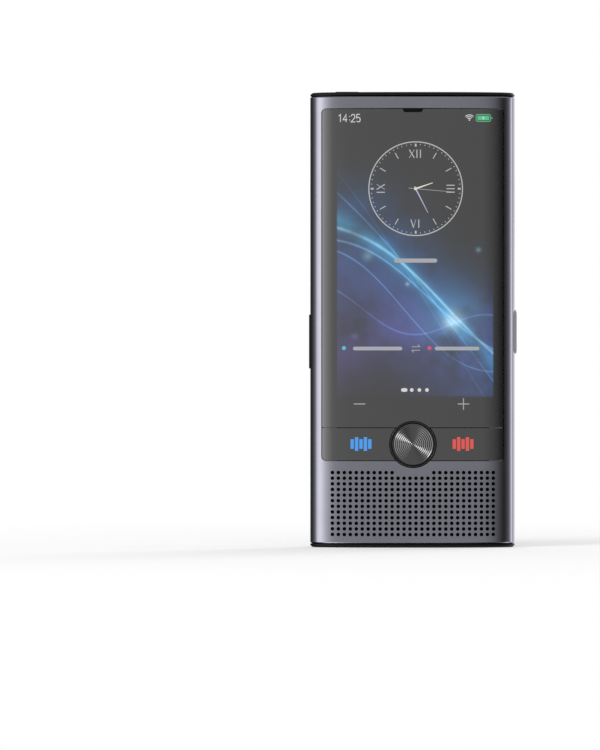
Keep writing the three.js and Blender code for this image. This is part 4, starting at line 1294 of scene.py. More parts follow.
def rounded_band(inner, outer, face, back, radius):
    """The closed profile of a ring whose two front edges are rounded."""
    turns = [math.pi / 2 * step / ROUND_STEPS for step in range(ROUND_STEPS + 1)]
    rises = [(radius * (1 - math.cos(turn)), face + radius * (1 - math.sin(turn))) for turn in turns]
    profile = [(inner, back)]
    profile += [(inner + inset, y) for inset, y in rises]
    profile += [(outer - inset, y) for inset, y in reversed(rises)]
    profile.append((outer, back))
    return profile


def button_profile(back, stem_end):
    """From the middle outwards: V-shaped grooves in a shallow dish, a narrow flat rim, then the stem."""
    pitch = BUTTON_RADIUS / BUTTON_GROOVES
    profile = []
    for step in range((BUTTON_GROOVES - 1) * STEPS_A_GROOVE + STEPS_A_GROOVE // 2 + 1):
        radius = step * pitch / STEPS_A_GROOVE
        groove = GROOVE_DEPTH * abs(2 * (radius / pitch % 1) - 1)
        dish = BUTTON_DISH * max(0, 1 - (radius / (BUTTON_RADIUS - pitch)) ** 2)
        profile.append((radius, BUTTON_RIM + dish + groove))
    profile.append((BUTTON_RADIUS - BUTTON_ROUND, BUTTON_RIM))
    profile.append((BUTTON_RADIUS, BUTTON_RIM + BUTTON_ROUND))
    profile += [(BUTTON_RADIUS, back), (BUTTON_STEM_RADIUS, back)]
    profile += [(BUTTON_STEM_RADIUS, stem_end), (0, stem_end)]
    return profile


def back_of(node):
    """How far back a CAD piece reaches, in millimetres."""
    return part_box(node)[1].y / MM


stem_end = back_of("round_button")
button_back = BUTTON_RIM + BUTTON_BACK_SHARE * (stem_end - BUTTON_RIM)
ring_back = back_of("button_ring")
ring_profile = rounded_band(RING_RADIUS - RING_WIDTH, RING_RADIUS, RING_FACE, ring_back, RING_ROUND)
ring_shape = turned("round_button_ring", ring_profile, 0, BUTTON_LEVEL, ring=True)
dress(ring_shape, "device", "ring_metal", ring_metal, "button_ring")
button_shape = turned("ridged_button", button_profile(button_back, stem_end), 0, BUTTON_LEVEL)
dress(button_shape, "centre_button", "button_metal", button_metal, "round_button")

# %% [markdown]
# ## Keys and tray in the edges
# The power button stands in the top cap, with ends that slope down to it. A dark key stands a little
# proud at the left, a light metal key and the card tray at the right. Each has a rounded face, because
# a finger or a pocket meets it first.

# %% Power button
POWER_TOP = 111.28
POWER_SLOPE = 0.5
POWER_ROUND = 0.12
POWER_ROUND_STEPS = 3
# Left, right, front and back of the flange under the cap, then its lower and upper level
POWER_FLANGE = (-19.55, -12.35, -1.3, 1.3)
POWER_FLANGE_LEVELS = (109.0, 109.5)
POWER_FLANGE_CORNER = 0.3
# Half width of the square stem, and the level of its end
POWER_STEM = (0.6, 108.3)
POWER_STEM_CORNER = 0.1


def power_button():
    left = POWER_MIDDLE - POWER_SIDE
    right = POWER_MIDDLE + POWER_SIDE
    bottom, flange_top = POWER_FLANGE_LEVELS
    side_view = [
        (left, flange_top),
        (right, flange_top),
        (right, HEIGHT),
        (right - POWER_SLOPE, POWER_TOP),
        (left + POWER_SLOPE, POWER_TOP),
        (left, HEIGHT),
    ]
    head = prism("power_head", "Y", side_view, -FAR, FAR)
    keep(head, prism("plan", "Z", power_outline(0), 0, HEIGHT + FAR))
    soften(head, POWER_ROUND, POWER_ROUND_STEPS)
    outline = rounded_rect(*POWER_FLANGE, POWER_FLANGE_CORNER)
    flange = prism("flange", "Z", outline, bottom, flange_top + MERGE)
    half, stem_bottom = POWER_STEM
    outline = rounded_rect(POWER_MIDDLE - half, POWER_MIDDLE + half, -half, half, POWER_STEM_CORNER)
    return join(head, flange, prism("stem", "Z", outline, stem_bottom, flange_top))


dress(power_button(), "power_key", "dark_key", dark_key_plastic, "power_button")

# %% [markdown]
# Each side key is a slot in outline, and its face rolls over at the rim. A skin through outlines that
# shrink toward the face gives that roll directly, where a bevel would round the flange as well. The
# flange stays behind the wall, so that the key can't fall out.

# %% Side keys
KEY_FACE_STEPS = 4
KEY_FACE_ROUND = 0.28
FLANGE_EDGE = 0.35
FLANGE_END = 0.9
FLANGE_THICKNESS = 0.6
FLANGE_CORNER = 0.2


def edge_key(name, side, place, node):
    """A slot-shaped head whose face rolls over at its rim, on a flange that stays behind the wall."""
    level, length = place
    low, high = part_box(node)
    face = max(abs(low.x), abs(high.x)) / MM
    flange_back = min(abs(low.x), abs(high.x)) / MM
    flange_face = flange_back + FLANGE_THICKNESS
    loops = [stand("X", slot_outline(0, level, SIDE_KEY_WIDTH, length), side * flange_back)]
    for step in range(KEY_FACE_STEPS + 1):
        turn = math.pi / 2 * step / KEY_FACE_STEPS
        inset = 2 * KEY_FACE_ROUND * (1 - math.cos(turn))
        outline = slot_outline(0, level, SIDE_KEY_WIDTH - inset, length - inset)
        loops.append(stand("X", outline, side * (face - KEY_FACE_ROUND * (1 - math.sin(turn)))))
    edge = SIDE_KEY_WIDTH / 2 + FLANGE_EDGE
    reach = length / 2 + FLANGE_END
    outline = rounded_rect(-edge, edge, level - reach, level + reach, FLANGE_CORNER)
    flange = prism("flange", "X", outline, side * flange_back, side * flange_face)
    return join(skin(name, loops), flange)


left_edge = edge_key("left_edge_key_cap", -1, LEFT_KEY, "left_side_key")
dress(left_edge, "left_edge_key", "dark_key", dark_key_plastic, "left_side_key")
right_edge = edge_key("right_edge_key_cap", 1, RIGHT_KEY, "right_side_key")
dress(right_edge, "right_edge_key", "light_key", light_key_metal, "right_side_key")

# %% [markdown]
# The tray's front is a slice of the sleeve's own wall, so the same oval cuts its face and only the fine
# seam and the pin hole show. Behind it a flat shelf with a pocket carries the card. The card's contacts
# are a layer of gold, drawn as thin plates sunk into its face.

# %% Card tray and the contacts on its card
# Level and radius of the hole that a pin goes into to free the tray
PIN_HOLE = (88.8, 0.45)
TRAY_EDGE = 0.08
SHELF_HEIGHT = 11.5
SHELF_HALF_THICKNESS = 0.5
SHELF_CORNER = 0.4
CARD_ROOM_CORNER = 0.2
CARD_CONTACTS = (2, 4)
CONTACT_SIZE = (2.3, 1.7)
CONTACT_PITCH = (3.4, 2.0)
CONTACT_CORNER = 0.3
CONTACT_THICKNESS = 0.03


def card_tray():
    level, length = TRAY
    outline = slot_outline(0, level, TRAY_WIDTH, length)
    tray = prism("card_tray_front", "X", outline, HALF_WIDTH - WALL, FAR * 2)
    keep(tray, oval_rod("tray_face", 0))
    soften(tray, TRAY_EDGE)
    inner_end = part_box("sim_tray")[0].x / MM
    card_low, card_high = [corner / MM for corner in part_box("sim_card")]
    bottom = (card_low.z + card_high.z) / 2 - SHELF_HEIGHT / 2
    outline = rounded_rect(inner_end, HALF_WIDTH - WALL / 2, bottom, bottom + SHELF_HEIGHT, SHELF_CORNER)
    join(tray, prism("shelf", "Y", outline, -SHELF_HALF_THICKNESS, SHELF_HALF_THICKNESS))
    left, right = card_low.x - SLIDE, card_high.x + SLIDE
    outline = rounded_rect(left, right, card_low.z - SLIDE, card_high.z + SLIDE, CARD_ROOM_CORNER)
    room = prism("room", "Y", outline, card_low.y, FAR)
    pin_outline = circle(0, *PIN_HOLE, HOLE_SIDES)
    pin = prism("pin", "X", pin_outline, HALF_WIDTH / 2, HALF_WIDTH / 2 + FAR)
    return cut(tray, room, pin)


def card_contacts():
    low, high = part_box("sim_card")
    middle = (low + high) / 2 / MM
    face = high.y / MM
    shape = bmesh.new()
    columns, rows = CARD_CONTACTS
    for column in range(columns):
        for row in range(rows):
            x = middle.x + (column - (columns - 1) / 2) * CONTACT_PITCH[0]
            z = middle.z + (row - (rows - 1) / 2) * CONTACT_PITCH[1]
            wide, tall = CONTACT_SIZE
            sides = (x - wide / 2, x + wide / 2, z - tall / 2, z + tall / 2)
            outline = rounded_rect(*sides, CONTACT_CORNER)
            front = stand("Y", outline, face - CONTACT_THICKNESS)
            add_skin(shape, [front, stand("Y", outline, face + CONTACT_THICKNESS)])
    return piece_of("card_contacts", shape)


dress(card_tray(), "card_tray", "tray_metal", tray_metal, "sim_tray", on_oval=True)
dress(card_contacts(), "card_tray", None, gold_plate)

# %% [markdown]
# ## The back panel and the cameras
# A dark glass panel is let into the top of the back, and the camera island stands a hair proud of it.
# Each lens is seen down a short stepped black barrel, which is what makes a camera look deep. The flash
# is a clear cover with fine rings over a yellow lamp.

# %% Back panel and island
PANEL_EDGE = 0.1
PLATE_EDGE = 0.14
UPPER_LENS = 2.5
LOWER_RING = 2.6
LOWER_RING_WIDTH = 0.53
FLASH_RADIUS = 2.1


def back_glass_panel():
    panel = skin("back_glass_panel", sleeve_loops())
    keep(panel, prism("panel", "Y", back_outline(0, HEIGHT), 0, FAR))
    cut(panel, oval_rod("behind", BACK_THICKNESS), prism("island", "Y", island_outline(SEAM), 0, FAR))
    return soften(panel, PANEL_EDGE)


def island_plate():
    plate = prism("camera_island", "Y", island_outline(0), ISLAND_BASE, ISLAND_FACE)
    holes = ((UPPER_CAMERA, UPPER_LENS), (FLASH, FLASH_RADIUS), (LOWER_CAMERA, LOWER_RING))
    for level, radius in holes:
        cut(plate, prism("hole", "Y", circle(0, level, radius + SLIDE), 0, FAR))
    return soften(plate, PLATE_EDGE)


dress(back_glass_panel(), "device", "back_glass", back_panel, "back_glass", on_oval=True)
dress(island_plate(), "device", "island_frame", island_metal, "camera_plate")

# %% [markdown]
# Each well is turned in one profile, as a lathe would cut the barrel. The eye in it is the front element
# of the lens: a round of coated glass whose middle dips, with the dome of the next element in the dip.
# A flat dark disc would do from the front, but from a slant it would give the camera away.

# %% Camera wells and eyes
LENS_FACE = 5.75
LENS_EDGE = 0.08
BARREL_RIM_SHARE = 0.74
BARREL_STEPS = 4
BARREL_DEPTH = 0.55
EYE_SHARE = 0.4
EYE_RISE = 0.4
EYE_SEAT = 0.05
EYE_INNER_SHARE = 0.55
EYE_STEPS = 8


def stepped_barrel(name, radius, level):
    """A black well that narrows in steps towards the eye of the lens."""
    eye = radius * EYE_SHARE
    rim = radius * BARREL_RIM_SHARE
    profile = [(0, ISLAND_BASE), (radius, ISLAND_BASE)]
    profile += [(radius, LENS_FACE - LENS_EDGE), (radius - LENS_EDGE, LENS_FACE)]
    for step in range(BARREL_STEPS + 1):
        at = rim - (rim - eye) * step / BARREL_STEPS
        depth = LENS_FACE - BARREL_DEPTH * step / BARREL_STEPS
        profile.append((at, depth))
        if step < BARREL_STEPS:
            profile.append((at, depth - BARREL_DEPTH / BARREL_STEPS))
    profile.append((0, LENS_FACE - BARREL_DEPTH))
    return turned(name, profile, 0, level)


def lens_eye(name, radius, level):
    """The front element: a round of glass in the well, with the dome of the next one in its dip."""
    eye = radius * EYE_SHARE
    base = LENS_FACE - BARREL_DEPTH - EYE_SEAT
    rim = base + EYE_SEAT
    inner = eye * EYE_INNER_SHARE
    profile = [(0, base), (eye, base)]
    for step in range(EYE_STEPS + 1):
        share = step / EYE_STEPS
        profile.append((eye - (eye - inner) * share, rim + EYE_RISE * math.sin(math.pi * share) / 2))
    for step in range(1, EYE_STEPS):
        turn = math.pi / 2 * step / EYE_STEPS
        profile.append((inner * math.cos(turn), rim + EYE_RISE * math.sin(turn) / 2))
    profile.append((0, rim + EYE_RISE / 2))
    return turned(name, profile, 0, level)


print("a camera well narrows in", BARREL_STEPS, "steps")

# %% [markdown]
# The coating of a lens reflects blue or violet where one looks across it, and is nearly black straight on.
# So a painted reflection of that blue is mixed into its tone by the angle of view, and its gloss is tinted
# too. Real coatings are thin films, but a mix of two tones by the angle shows the same and is easy to set.

# %% Coated glass and the cameras
COATING_REFLECTION_BLUE = (0.03, 0.07, 0.42)
COATING_GLOSS = (0.25, 0.42, 1)
COATING_SPREAD = 0.35
COATED_IOR = 1.7


def coated_glass():
    """Camera glass: nearly black, with a painted reflection of its coating's blue and violet toward the rim.
    """
    material = finish("coated_glass", (0.003, 0.006, 0.03), 0.03, coat=0.25, depth=GLASS_DEPTH)
    tree, shader = shader_of(material)
    facing = add_node(tree, "ShaderNodeLayerWeight", {"Blend": COATING_SPREAD}).outputs["Facing"]
    # Painted reflection: the coating's blue takes over the tone as the view turns across the glass
    change_tone(material, lambda tree, tone: mix_colours(tree, facing, tone, rgba(*COATING_REFLECTION_BLUE)))
    shader.inputs["Specular Tint"].default_value = rgba(*COATING_GLOSS)
    shader.inputs["IOR"].default_value = COATED_IOR
    return material


lens_coat = coated_glass()
lens_rim = finish("lens_rim", (0.003, 0.003, 0.0035), 0.1, coat=0.2, depth=GLASS_DEPTH, specular=0.3)
lower_radius = LOWER_RING - LOWER_RING_WIDTH - SLIDE
cameras = (("upper", UPPER_LENS, UPPER_CAMERA), ("lower", lower_radius, LOWER_CAMERA))
for place, radius, level in cameras:
    well = stepped_barrel(place + "_camera_well", radius, level)
    dress(well, "device", "lens_glass", lens_rim, place + "_camera_lens")
for place, radius, level in cameras:
    eye = lens_eye(place + "_camera_eye", radius, level)
    dress(eye, "device", "lens_glass", lens_coat)

# %% [markdown]
# The silver ring is turned like the black one in front. The flash cover is pressed with fine rings that
# spread the light. The yellow of the lamp is in the cover's finish, because the rings hide the lamp itself.
# Small facets break it up, each lighter toward its edge as a painted glint of light bent by the rings.

# %% Silver ring and flash
RING_EDGE = 0.12
FLASH_EDGE = 0.06
FLASH_RINGS = 7
FLASH_RING_DEPTH = 0.05
FLASH_CORE = 1.5
FLASH_CORE_SOLID = 0.8
FLASH_FACET_SCALE = 1700.0
FLASH_GLINT_GAIN = 1.5
# The lamp's own yellow, and the paler yellow of the painted glints on the facets
LAMP_DEEP_YELLOW = (0.26, 0.22, 0.02)
LAMP_GLINT_YELLOW = (0.8, 0.76, 0.3)


def silver_profile():
    inner = LOWER_RING - LOWER_RING_WIDTH
    facing_front = rounded_band(inner, LOWER_RING, -ISLAND_FACE, -ISLAND_BASE, RING_EDGE)
    return [(radius, -y) for radius, y in facing_front]


def flash_profile():
    profile = [(0, ISLAND_BASE), (FLASH_RADIUS, ISLAND_BASE), (FLASH_RADIUS, LENS_FACE - FLASH_EDGE)]
    for ring in range(FLASH_RINGS, 0, -1):
        radius = (FLASH_RADIUS - FLASH_EDGE) * ring / FLASH_RINGS
        profile.append((radius, LENS_FACE))
        profile.append((radius - FLASH_EDGE, LENS_FACE - FLASH_RING_DEPTH))
    profile.append((0, LENS_FACE))
    return profile


def flash_cover():
    """Clear rings over the lamp: yellow with painted glints in the middle, grey and clear at the rim."""
    material = finish("flash_cover", (0.035, 0.035, 0.03), 0.12, coat=0.4, depth=0.000006, scale=1800)
    tree = material.node_tree
    place = add_node(tree, "ShaderNodeTexCoord").outputs["Object"]
    middle = (0, 0, FLASH * MM)
    off = add_node(tree, "ShaderNodeVectorMath", {0: place, 1: middle}, operation="SUBTRACT").outputs[0]
    flat = add_node(tree, "ShaderNodeVectorMath", {0: off, 1: (1, 0, 1)}, operation="MULTIPLY").outputs[0]
    away = add_node(tree, "ShaderNodeVectorMath", {0: flat}, operation="LENGTH").outputs["Value"]
    facets = add_node(tree, "ShaderNodeTexVoronoi", {"Vector": place, "Scale": FLASH_FACET_SCALE})
    # Painted glints: each facet goes from deep to pale yellow toward its edge, as light bent by the rings
    bright = calc(tree, "MULTIPLY", facets.outputs["Distance"], FLASH_GLINT_GAIN)
    lamp = mix_colours(tree, bright, rgba(*LAMP_DEEP_YELLOW), rgba(*LAMP_GLINT_YELLOW))
    inside = smooth_share(tree, away, FLASH_CORE * MM, FLASH_CORE * FLASH_CORE_SOLID * MM)
    change_tone(material, lambda tree, tone: mix_colours(tree, inside, tone, lamp))
    return material


silver_shape = turned("lower_camera_band", silver_profile(), 0, LOWER_CAMERA, ring=True)
dress(silver_shape, "device", "silver_metal", silver_metal, "lower_camera_ring")
flash_shape = turned("flash_window", flash_profile(), 0, FLASH)
dress(flash_shape, "device", "flash_glass", flash_cover(), "flash_lens")

# %% [markdown]
# ## What the screen shows
# The marks on the screen are thin pieces laid on the curve of the glass. A helper takes flat outlines,
# slices them across so that they can bend, and gives them a front and a back that follow the oval. On
# the real device these marks are light, so they have no thickness to speak of. They could be drawn in
# the glass's finish too, but as pieces they stay sharp from near by. The clock has the plain numbers of
# any dial, and the rows below it are plain bars.

# %% Lay flat outlines on the curved front
# How far a mark stands above the oval and reaches below it, and how wide its slices are
MARK_LIFT = 0.02
MARK_SINK = 0.06
MARK_STEP = 0.7


def laid_on_front(name, outlines):
    """Thin pieces with the given outlines, curved in front and behind as the oval."""
    shape = bmesh.new()
    for outline in outlines:
        shape.faces.new([shape.verts.new((x, 0, z)) for x, z in outline])
    bmesh.ops.remove_doubles(shape, verts=shape.verts, dist=MERGE)
    places = [vertex.co.x for vertex in shape.verts]
    at = MARK_STEP * math.ceil(min(places) / MARK_STEP)
    while at < max(places):
        parts = shape.verts[:] + shape.edges[:] + shape.faces[:]
        bmesh.ops.bisect_plane(shape, geom=parts, dist=MERGE, plane_co=(at, 0, 0), plane_no=(1, 0, 0))
        at += MARK_STEP
    rims = [edge for edge in shape.edges if len(edge.link_faces) == 1]
    faces = shape.faces[:]
    behind = {vertex: shape.verts.new(vertex.co) for vertex in shape.verts[:]}
    for face in faces:
        shape.faces.new([behind[vertex] for vertex in reversed(face.verts)])
    for rim in rims:
        first, second = rim.verts
        shape.faces.new((first, second, behind[second], behind[first]))
    for front, back in behind.items():
        depth = oval_depth(front.co.x)
        front.co.y = -depth - MARK_LIFT
        back.co.y = -depth + MARK_SINK
    return piece_of(name, shape)


print("marks are lifted", MARK_LIFT, "mm off the oval")

# %% [markdown]
# All signs on the screen are drawn with a few outlines: a line of even width, an arc, a bar with round
# ends, and the circle from before. Blender's curves could draw them too, but then they would have to be
# turned into meshes before they can bend, and points are simple to work out.

# %% Bands, arcs and pills
# A band's sharp corner is cut short here, so that it has no long spike
LEAST_MITRE = 0.45
PILL_STEPS = 4
ARC_STEPS = 10


def band(points, width, closed=False):
    """A line of even width through points, as a row of four-sided outlines."""
    places = [Vector(point) for point in points]
    count = len(places)
    steps = [(places[(at + 1) % count] - places[at]).normalized() for at in range(count)]
    sides = []
    for at, place in enumerate(places):
        coming = steps[at - 1] if closed or at else steps[at]
        going = steps[at] if closed or at < count - 1 else steps[at - 1]
        run = (coming + going).normalized()
        reach = width / 2 / max(run.dot(going), LEAST_MITRE)
        aside = Vector((-run.y, run.x)) * reach
        sides.append((tuple(place + aside), tuple(place - aside)))
    pairs = list(zip(sides, sides[1:] + sides[:1] if closed else sides[1:]))
    return [[near[0], near[1], far[1], far[0]] for near, far in pairs]


def arc(across, level, radius, start, end):
    """Points on an arc, in degrees clockwise from the top."""
    turns = [math.radians(start + (end - start) * step / ARC_STEPS) for step in range(ARC_STEPS + 1)]
    return [(across + radius * math.sin(turn), level + radius * math.cos(turn)) for turn in turns]


def pill(left, right, level, thickness):
    half = thickness / 2
    return rounded_rect(left, right, level - half, level + half, half - MERGE, PILL_STEPS)


print("an arc has", ARC_STEPS, "steps")

# %% [markdown]
# The marks shine, and yet they lie under the same gloss as the rest of the glass. So a lit finish is the
# glass's own black with a light of one colour. A lamp behind each mark would be closer to a real
# screen, but the light that leaves the front is all that one sees.

# %% Lit finishes
def lit(name, colour):
    """A mark that glows through the glass and has the glass's own gloss."""
    material = finish(name, GLASS_BLACK, 0.1, coat=1.0, depth=GLASS_DEPTH)
    tree, shader = shader_of(material)
    tone = use_effect(tree, "tone_drift", Colour=rgba(*colour), Scale=DRIFT_SCALE * 2, Spread=DRIFT_SPREAD)
    wire(tree, tone, shader.inputs["Emission Color"])
    shader.inputs["Emission Strength"].default_value = 1
    return material


def show(name, outlines, material, body="device"):
    return dress(laid_on_front(name, outlines), body, None, material)


lit_white = lit("lit_white", (0.62, 0.62, 0.63))
lit_soft = lit("lit_soft", (0.34, 0.34, 0.35))
lit_pale = lit("lit_pale", (0.44, 0.44, 0.45))
lit_grey = lit("lit_grey", (0.33, 0.34, 0.37))
lit_cream = lit("lit_cream", (0.74, 0.69, 0.58))
lit_lilac = lit("lit_lilac", (0.42, 0.42, 0.6))
lit_blue = lit("lit_blue", (0.01, 0.27, 0.78))
lit_red = lit("lit_red", (0.68, 0.035, 0.02))
lit_sky = lit("lit_sky", (0.05, 0.42, 0.55))
lit_rose = lit("lit_rose", (0.6, 0.03, 0.12))
lit_green = lit("lit_green", (0.05, 0.46, 0.2))
print("lit finishes", len([made for made in bpy.data.materials if made.name.startswith("lit_")]))

# %% [markdown]
# The dial is built as a clockmaker lays one out: a ring, a mark for each minute, a longer one for each
# hour, and numerals at the quarters. One function places a point by its angle and its distance from the
# middle, and everything on the dial is drawn with it.

# %% Places and marks on the dial
CLOCK = (0.66, 87.4)


def around_clock(turn, out, aside=0):
    """A point at so many degrees clockwise from the top, so far out from the middle."""
    angle = math.radians(turn)
    x = CLOCK[0] + out * math.sin(angle) + aside * math.cos(angle)
    return (x, CLOCK[1] + out * math.cos(angle) - aside * math.sin(angle))


def spoke(turn, near, far, width, far_width=None):
    """A straight mark that points to the middle. It can be narrower at its far end."""
    near_half = width / 2
    far_half = near_half if far_width is None else far_width / 2
    corners = ((near, -near_half), (near, near_half), (far, far_half), (far, -far_half))
    return [around_clock(turn, out, aside) for out, aside in corners]


print("the clock's middle is at", CLOCK)

# %% [markdown]
# A numeral is drawn as strokes, some bold and some thin, as a pen held at a slant would draw them. Each
# stands on its own radius, with its head outwards, except the lowest, which is turned so that it reads
# upright. A font would need a file of its own, and three kinds of stroke are enough here.

# %% Numerals
NUMERAL_HEIGHT = 2.0
NUMERAL_FROM_MIDDLE = 8.5
THIN = 0.11
BOLD = 0.23
CROSS_HALF = 0.62
VEE_HALF = 0.6


def numeral(turn, strokes, way=1):
    """Strokes of a plain dial numeral: pairs of ends and a width, upright at the top of the dial."""
    half = NUMERAL_HEIGHT / 2
    outlines = []
    for (x_low, low), (x_high, high), width in strokes:
        ends = [(x_low, low * half), (x_high, high * half)]
        for outline in band(ends, width):
            placed = [(NUMERAL_FROM_MIDDLE + way * up, way * aside) for aside, up in outline]
            outlines.append([around_clock(turn, out, aside) for out, aside in placed])
    return outlines


def upright(at):
    return ((at, -1), (at, 1), BOLD)


def cross(at):
    left = at - CROSS_HALF
    right = at + CROSS_HALF
    return [((left, 1), (right, -1), BOLD), ((left, -1), (right, 1), THIN)]


def vee(at):
    return [((at - VEE_HALF, 1), (at, -1), BOLD), ((at, -1), (at + VEE_HALF, 1), THIN)]


print("numerals are", NUMERAL_HEIGHT, "mm high")

# %% [markdown]
# The dial is one piece: all its marks share one finish and never move against each other. A piece for
# each mark would make a list of more than seventy names that nobody would use one by one.

# %% Clock dial
CLOCK_RADIUS = 11.4
CLOCK_SIDES = 96
CLOCK_LINE = 0.25
MARKS_END = 10.95
# Start and width of the marks
MINUTE_MARK = (10.65, 0.16)
QUARTER_MARK = (10.25, 0.42)
# Start, end and width
HOUR_MARK = (8.45, 10.05, 0.2)


def clock_dial():
    turns = [FULL_TURN * side / CLOCK_SIDES for side in range(CLOCK_SIDES)]
    outlines = band([around_clock(turn, CLOCK_RADIUS) for turn in turns], CLOCK_LINE, closed=True)
    for minute in range(60):
        near, width = MINUTE_MARK if minute % 15 else QUARTER_MARK
        outlines.append(spoke(FULL_TURN * minute / 60, near, MARKS_END, width))
    for hour in range(12):
        if hour % 3:
            outlines.append(spoke(FULL_TURN * hour / 12, *HOUR_MARK))
    # The numerals of twelve, three, six and nine, stroke by stroke
    outlines += numeral(0, cross(-0.95) + [upright(0.3), upright(1.15)])
    outlines += numeral(90, [upright(-0.84), upright(0), upright(0.84)])
    outlines += numeral(180, vee(-0.55) + [upright(0.75)], way=-1)
    outlines += numeral(270, [upright(-0.87)] + cross(0.45))
    return outlines


show("clock_dial", clock_dial(), lit_pale)

# %% [markdown]
# A hand is a mark like those of the dial, only longer, and narrower at its tip. It starts a little behind
# the middle, as a real hand does for balance, and a small hub covers the crossing. On a lit screen
# nothing turns, so the hands ride on the device like the dial.

# %% Clock hands
HUB_RADIUS = 0.38
HUB_SIDES = 20
# Name, degrees clockwise, near and far end, width at each end, finish
HANDS = (
    ("clock_hour_hand", 71, -0.4, 4.4, 0.42, 0.16, lit_cream),
    ("clock_minute_hand", 153, -0.6, 6.6, 0.34, 0.14, lit_lilac),
    ("clock_second_hand", 95, -1.7, 8.6, 0.14, 0.1, lit_soft),
)
for hand, turn, near, far, width, tip, hand_finish in HANDS:
    show(hand, [spoke(turn, near, far, width, tip)], hand_finish)
show("clock_hub", [circle(*CLOCK, HUB_RADIUS, HUB_SIDES)], lit_cream)

# %% [markdown]
# The row at the top has plain digits, a fan of arcs for the signal and a cell with its charge. A digit is
# a few bands of even width, like the strokes of a drawn sign. It is drawn in a square of one by one and
# then scaled, so that one pair of numbers sets the size of them all.

# %% Digits of the status row
STATUS_LEVEL = 104.6
DIGIT_HEIGHT = 1.85
DIGIT_WIDTH = 0.98
DIGIT_LINE = 0.2
TWO_HEAD = [(0.05, 0.76), (0.16, 0.93), (0.5, 1), (0.84, 0.93), (0.92, 0.72), (0.8, 0.5)]
FIVE_HEAD = [(0.92, 1), (0.16, 1), (0.08, 0.52), (0.5, 0.62)]
FIVE_BELLY = [(0.9, 0.5), (0.98, 0.3), (0.86, 0.06), (0.5, 0), (0.04, 0.1)]
# The strokes of each digit
DIGITS = {
    "1": [[(0.2, 0.78), (0.62, 1), (0.62, 0)]],
    "4": [[(1, 0.3), (0, 0.3), (0.72, 1), (0.72, 0)]],
    "2": [TWO_HEAD + [(0.02, 0), (1, 0)]],
    "5": [FIVE_HEAD + FIVE_BELLY],
    ":": [[(0.4, 0.2), (0.4, 0.32)], [(0.4, 0.66), (0.4, 0.78)]],
}
# Each digit, and where its left side is
CLOCK_DIGITS = (("1", -18.25), ("4", -17.0), ("2", -15.05), ("5", -13.8), (":", -15.8))


def digit(mark, left):
    outlines = []
    for points in DIGITS[mark]:
        placed = [(left + x * DIGIT_WIDTH, STATUS_LEVEL + (z - 0.5) * DIGIT_HEIGHT) for x, z in points]
        outlines += band(placed, DIGIT_LINE)
    return outlines


clock_digits = []
for mark, left in CLOCK_DIGITS:
    clock_digits += digit(mark, left)
show("status_digits", clock_digits, lit_white)

# %% [markdown]
# The signal is three arcs over a dot. The cell is a rim, a tip and a fill, with a flash on it. Both could
# be cut out of one plate, but then the colours couldn't differ, so each colour is a piece of its own.

# %% Signal and charge
SIGNAL = (13.75, 104.0)
SIGNAL_RADII = (0.55, 0.98, 1.4)
SIGNAL_HALF_ANGLE = 45
SIGNAL_LINE = 0.19
# How far the dot under the arcs is raised, its radius and its sides
SIGNAL_DOT = (0.12, 0.18, 12)
# Left, right, bottom, top and corner
BATTERY_RIM = (15.4, 18.95, 103.82, 105.5, 0.4)
BATTERY_FILL = (15.72, 18.63, 104.12, 105.2, 0.15)
BATTERY_LINE = 0.18
BATTERY_STEPS = 4
# Left, right, level and thickness
BATTERY_TIP = (19.06, 19.4, 104.66, 0.36)
# A flash drawn as two triangles
CHARGING_SIGN = (
    [(17.35, 105.14), (16.82, 104.6), (17.2, 104.6)],
    [(17.0, 104.18), (17.53, 104.72), (17.15, 104.72)],
)


def signal_fan():
    across, base = SIGNAL
    rise, radius, sides = SIGNAL_DOT
    outlines = [circle(across, base + rise, radius, sides)]
    for radius in SIGNAL_RADII:
        outlines += band(arc(across, base, radius, -SIGNAL_HALF_ANGLE, SIGNAL_HALF_ANGLE), SIGNAL_LINE)
    return outlines


show("status_signal", signal_fan(), lit_white)
battery_rim = band(rounded_rect(*BATTERY_RIM, BATTERY_STEPS), BATTERY_LINE, closed=True)
show("status_battery_rim", battery_rim + [pill(*BATTERY_TIP)], lit_green)
show("status_battery_fill", [rounded_rect(*BATTERY_FILL, BATTERY_STEPS)], lit_green)
show("status_charging", CHARGING_SIGN, lit_white)

# %% [markdown]
# The middle of the screen has only plain signs: bars with round ends, dots and two arrows. They are made
# of the same pills, circles and bands as before, so a row of numbers is all that each one needs.

# %% Bars, dots and arrows
# Left, right, level and thickness of each bar
PLACE_BAR = (-4.6, 5.9, 69.9, 1.0)
LANGUAGE_BARS = ((-14.6, -2.6, 48.5, 0.9), (5.3, 16.2, 48.5, 0.9))
# Across, level, radius and sides of each dot
FIRST_DOT = (-16.8, 48.6, 0.5, 20)
SECOND_DOT = (4.0, 48.6, 0.5, 20)
SWAP_PLACE = (0.7, 48.5)
SWAP_HALF_GAP = 0.42
SWAP_TIP = 0.5
SWAP_TIP_REACH = 1.02
SWAP_LINE = 0.18
PAGE_LEVEL = 38.4
PAGE_BAR = (-2.9, -1.35, PAGE_LEVEL, 0.9)
PAGE_DOTS = (-0.3, 1.55, 3.4)
PAGE_DOT_RADIUS = 0.45
PAGE_DOT_SIDES = 16


def swap_arrows():
    across, level = SWAP_PLACE
    outlines = []
    for side in (-1, 1):
        z = level + side * SWAP_HALF_GAP
        tip = (across + side * SWAP_TIP_REACH, z)
        outlines += band([(across - 1, z), (across + 1, z)], SWAP_LINE)
        outlines += band([(across + side * SWAP_TIP, z + side * SWAP_TIP), tip], SWAP_LINE)
    return outlines


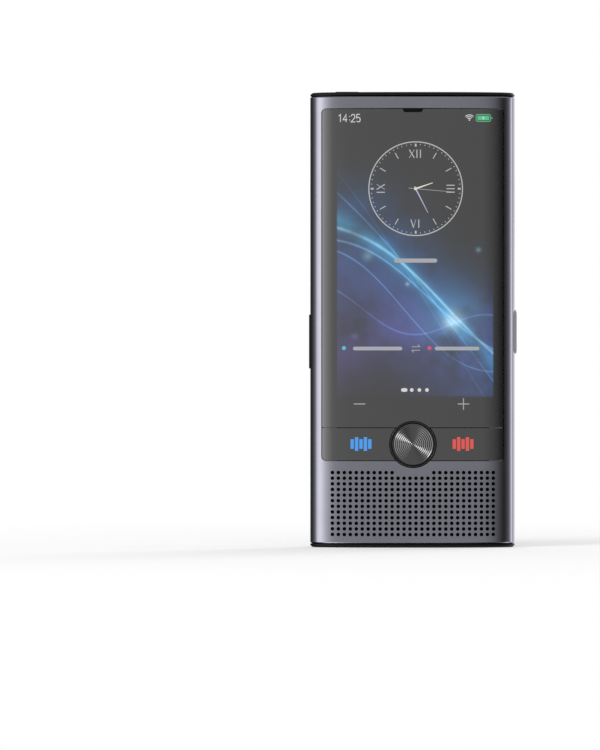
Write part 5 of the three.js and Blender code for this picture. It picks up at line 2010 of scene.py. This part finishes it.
show("place_bar", [pill(*PLACE_BAR)], lit_grey)
show("language_bars", [pill(*bar) for bar in LANGUAGE_BARS], lit_grey)
show("language_swap", swap_arrows(), lit_soft)
show("first_language_dot", [circle(*FIRST_DOT)], lit_sky)
show("second_language_dot", [circle(*SECOND_DOT)], lit_rose)
page_dots = [circle(x, PAGE_LEVEL, PAGE_DOT_RADIUS, PAGE_DOT_SIDES) for x in PAGE_DOTS]
show("page_dots", [pill(*PAGE_BAR)] + page_dots, lit_white)

# %% [markdown]
# A minus and a plus stand above the voice keys, and each key has a sound wave of five bars. The waves
# ride on the keys, so that they go down with them when a key is pressed. If they were part of the glass's
# picture, they would stay behind.

# %% Volume signs and sound waves
VOLUME_LEVEL = 35.0
VOLUME_MINUS = -13.0
VOLUME_PLUS = 12.3
VOLUME_HALF = 1.4
VOLUME_LINE = 0.24
LEFT_VOICE_SIGN = -12.65
RIGHT_VOICE_SIGN = 12.2
VOICE_LEVEL = 25.25
BAR_HEIGHTS = (2.35, 3.35, 2.35, 3.35, 2.35)
BAR_WIDTH = 0.82
BAR_PITCH = 1.07
BAR_CORNER = 0.08
BAR_STEPS = 2


def flat_line(across):
    return band([(across - VOLUME_HALF, VOLUME_LEVEL), (across + VOLUME_HALF, VOLUME_LEVEL)], VOLUME_LINE)


def upright_line(across):
    return band([(across, VOLUME_LEVEL - VOLUME_HALF), (across, VOLUME_LEVEL + VOLUME_HALF)], VOLUME_LINE)


def voice_bars(across):
    outlines = []
    for at, height in enumerate(BAR_HEIGHTS):
        x = across + (at - len(BAR_HEIGHTS) // 2) * BAR_PITCH
        left, right = x - BAR_WIDTH / 2, x + BAR_WIDTH / 2
        bottom, top = VOICE_LEVEL - height / 2, VOICE_LEVEL + height / 2
        outlines.append(rounded_rect(left, right, bottom, top, BAR_CORNER, BAR_STEPS))
    return outlines


show("volume_minus", flat_line(VOLUME_MINUS), lit_soft)
show("volume_plus", flat_line(VOLUME_PLUS) + upright_line(VOLUME_PLUS), lit_soft)
show("left_voice_bars", voice_bars(LEFT_VOICE_SIGN), lit_blue, "left_voice_key")
show("right_voice_bars", voice_bars(RIGHT_VOICE_SIGN), lit_red, "right_voice_key")
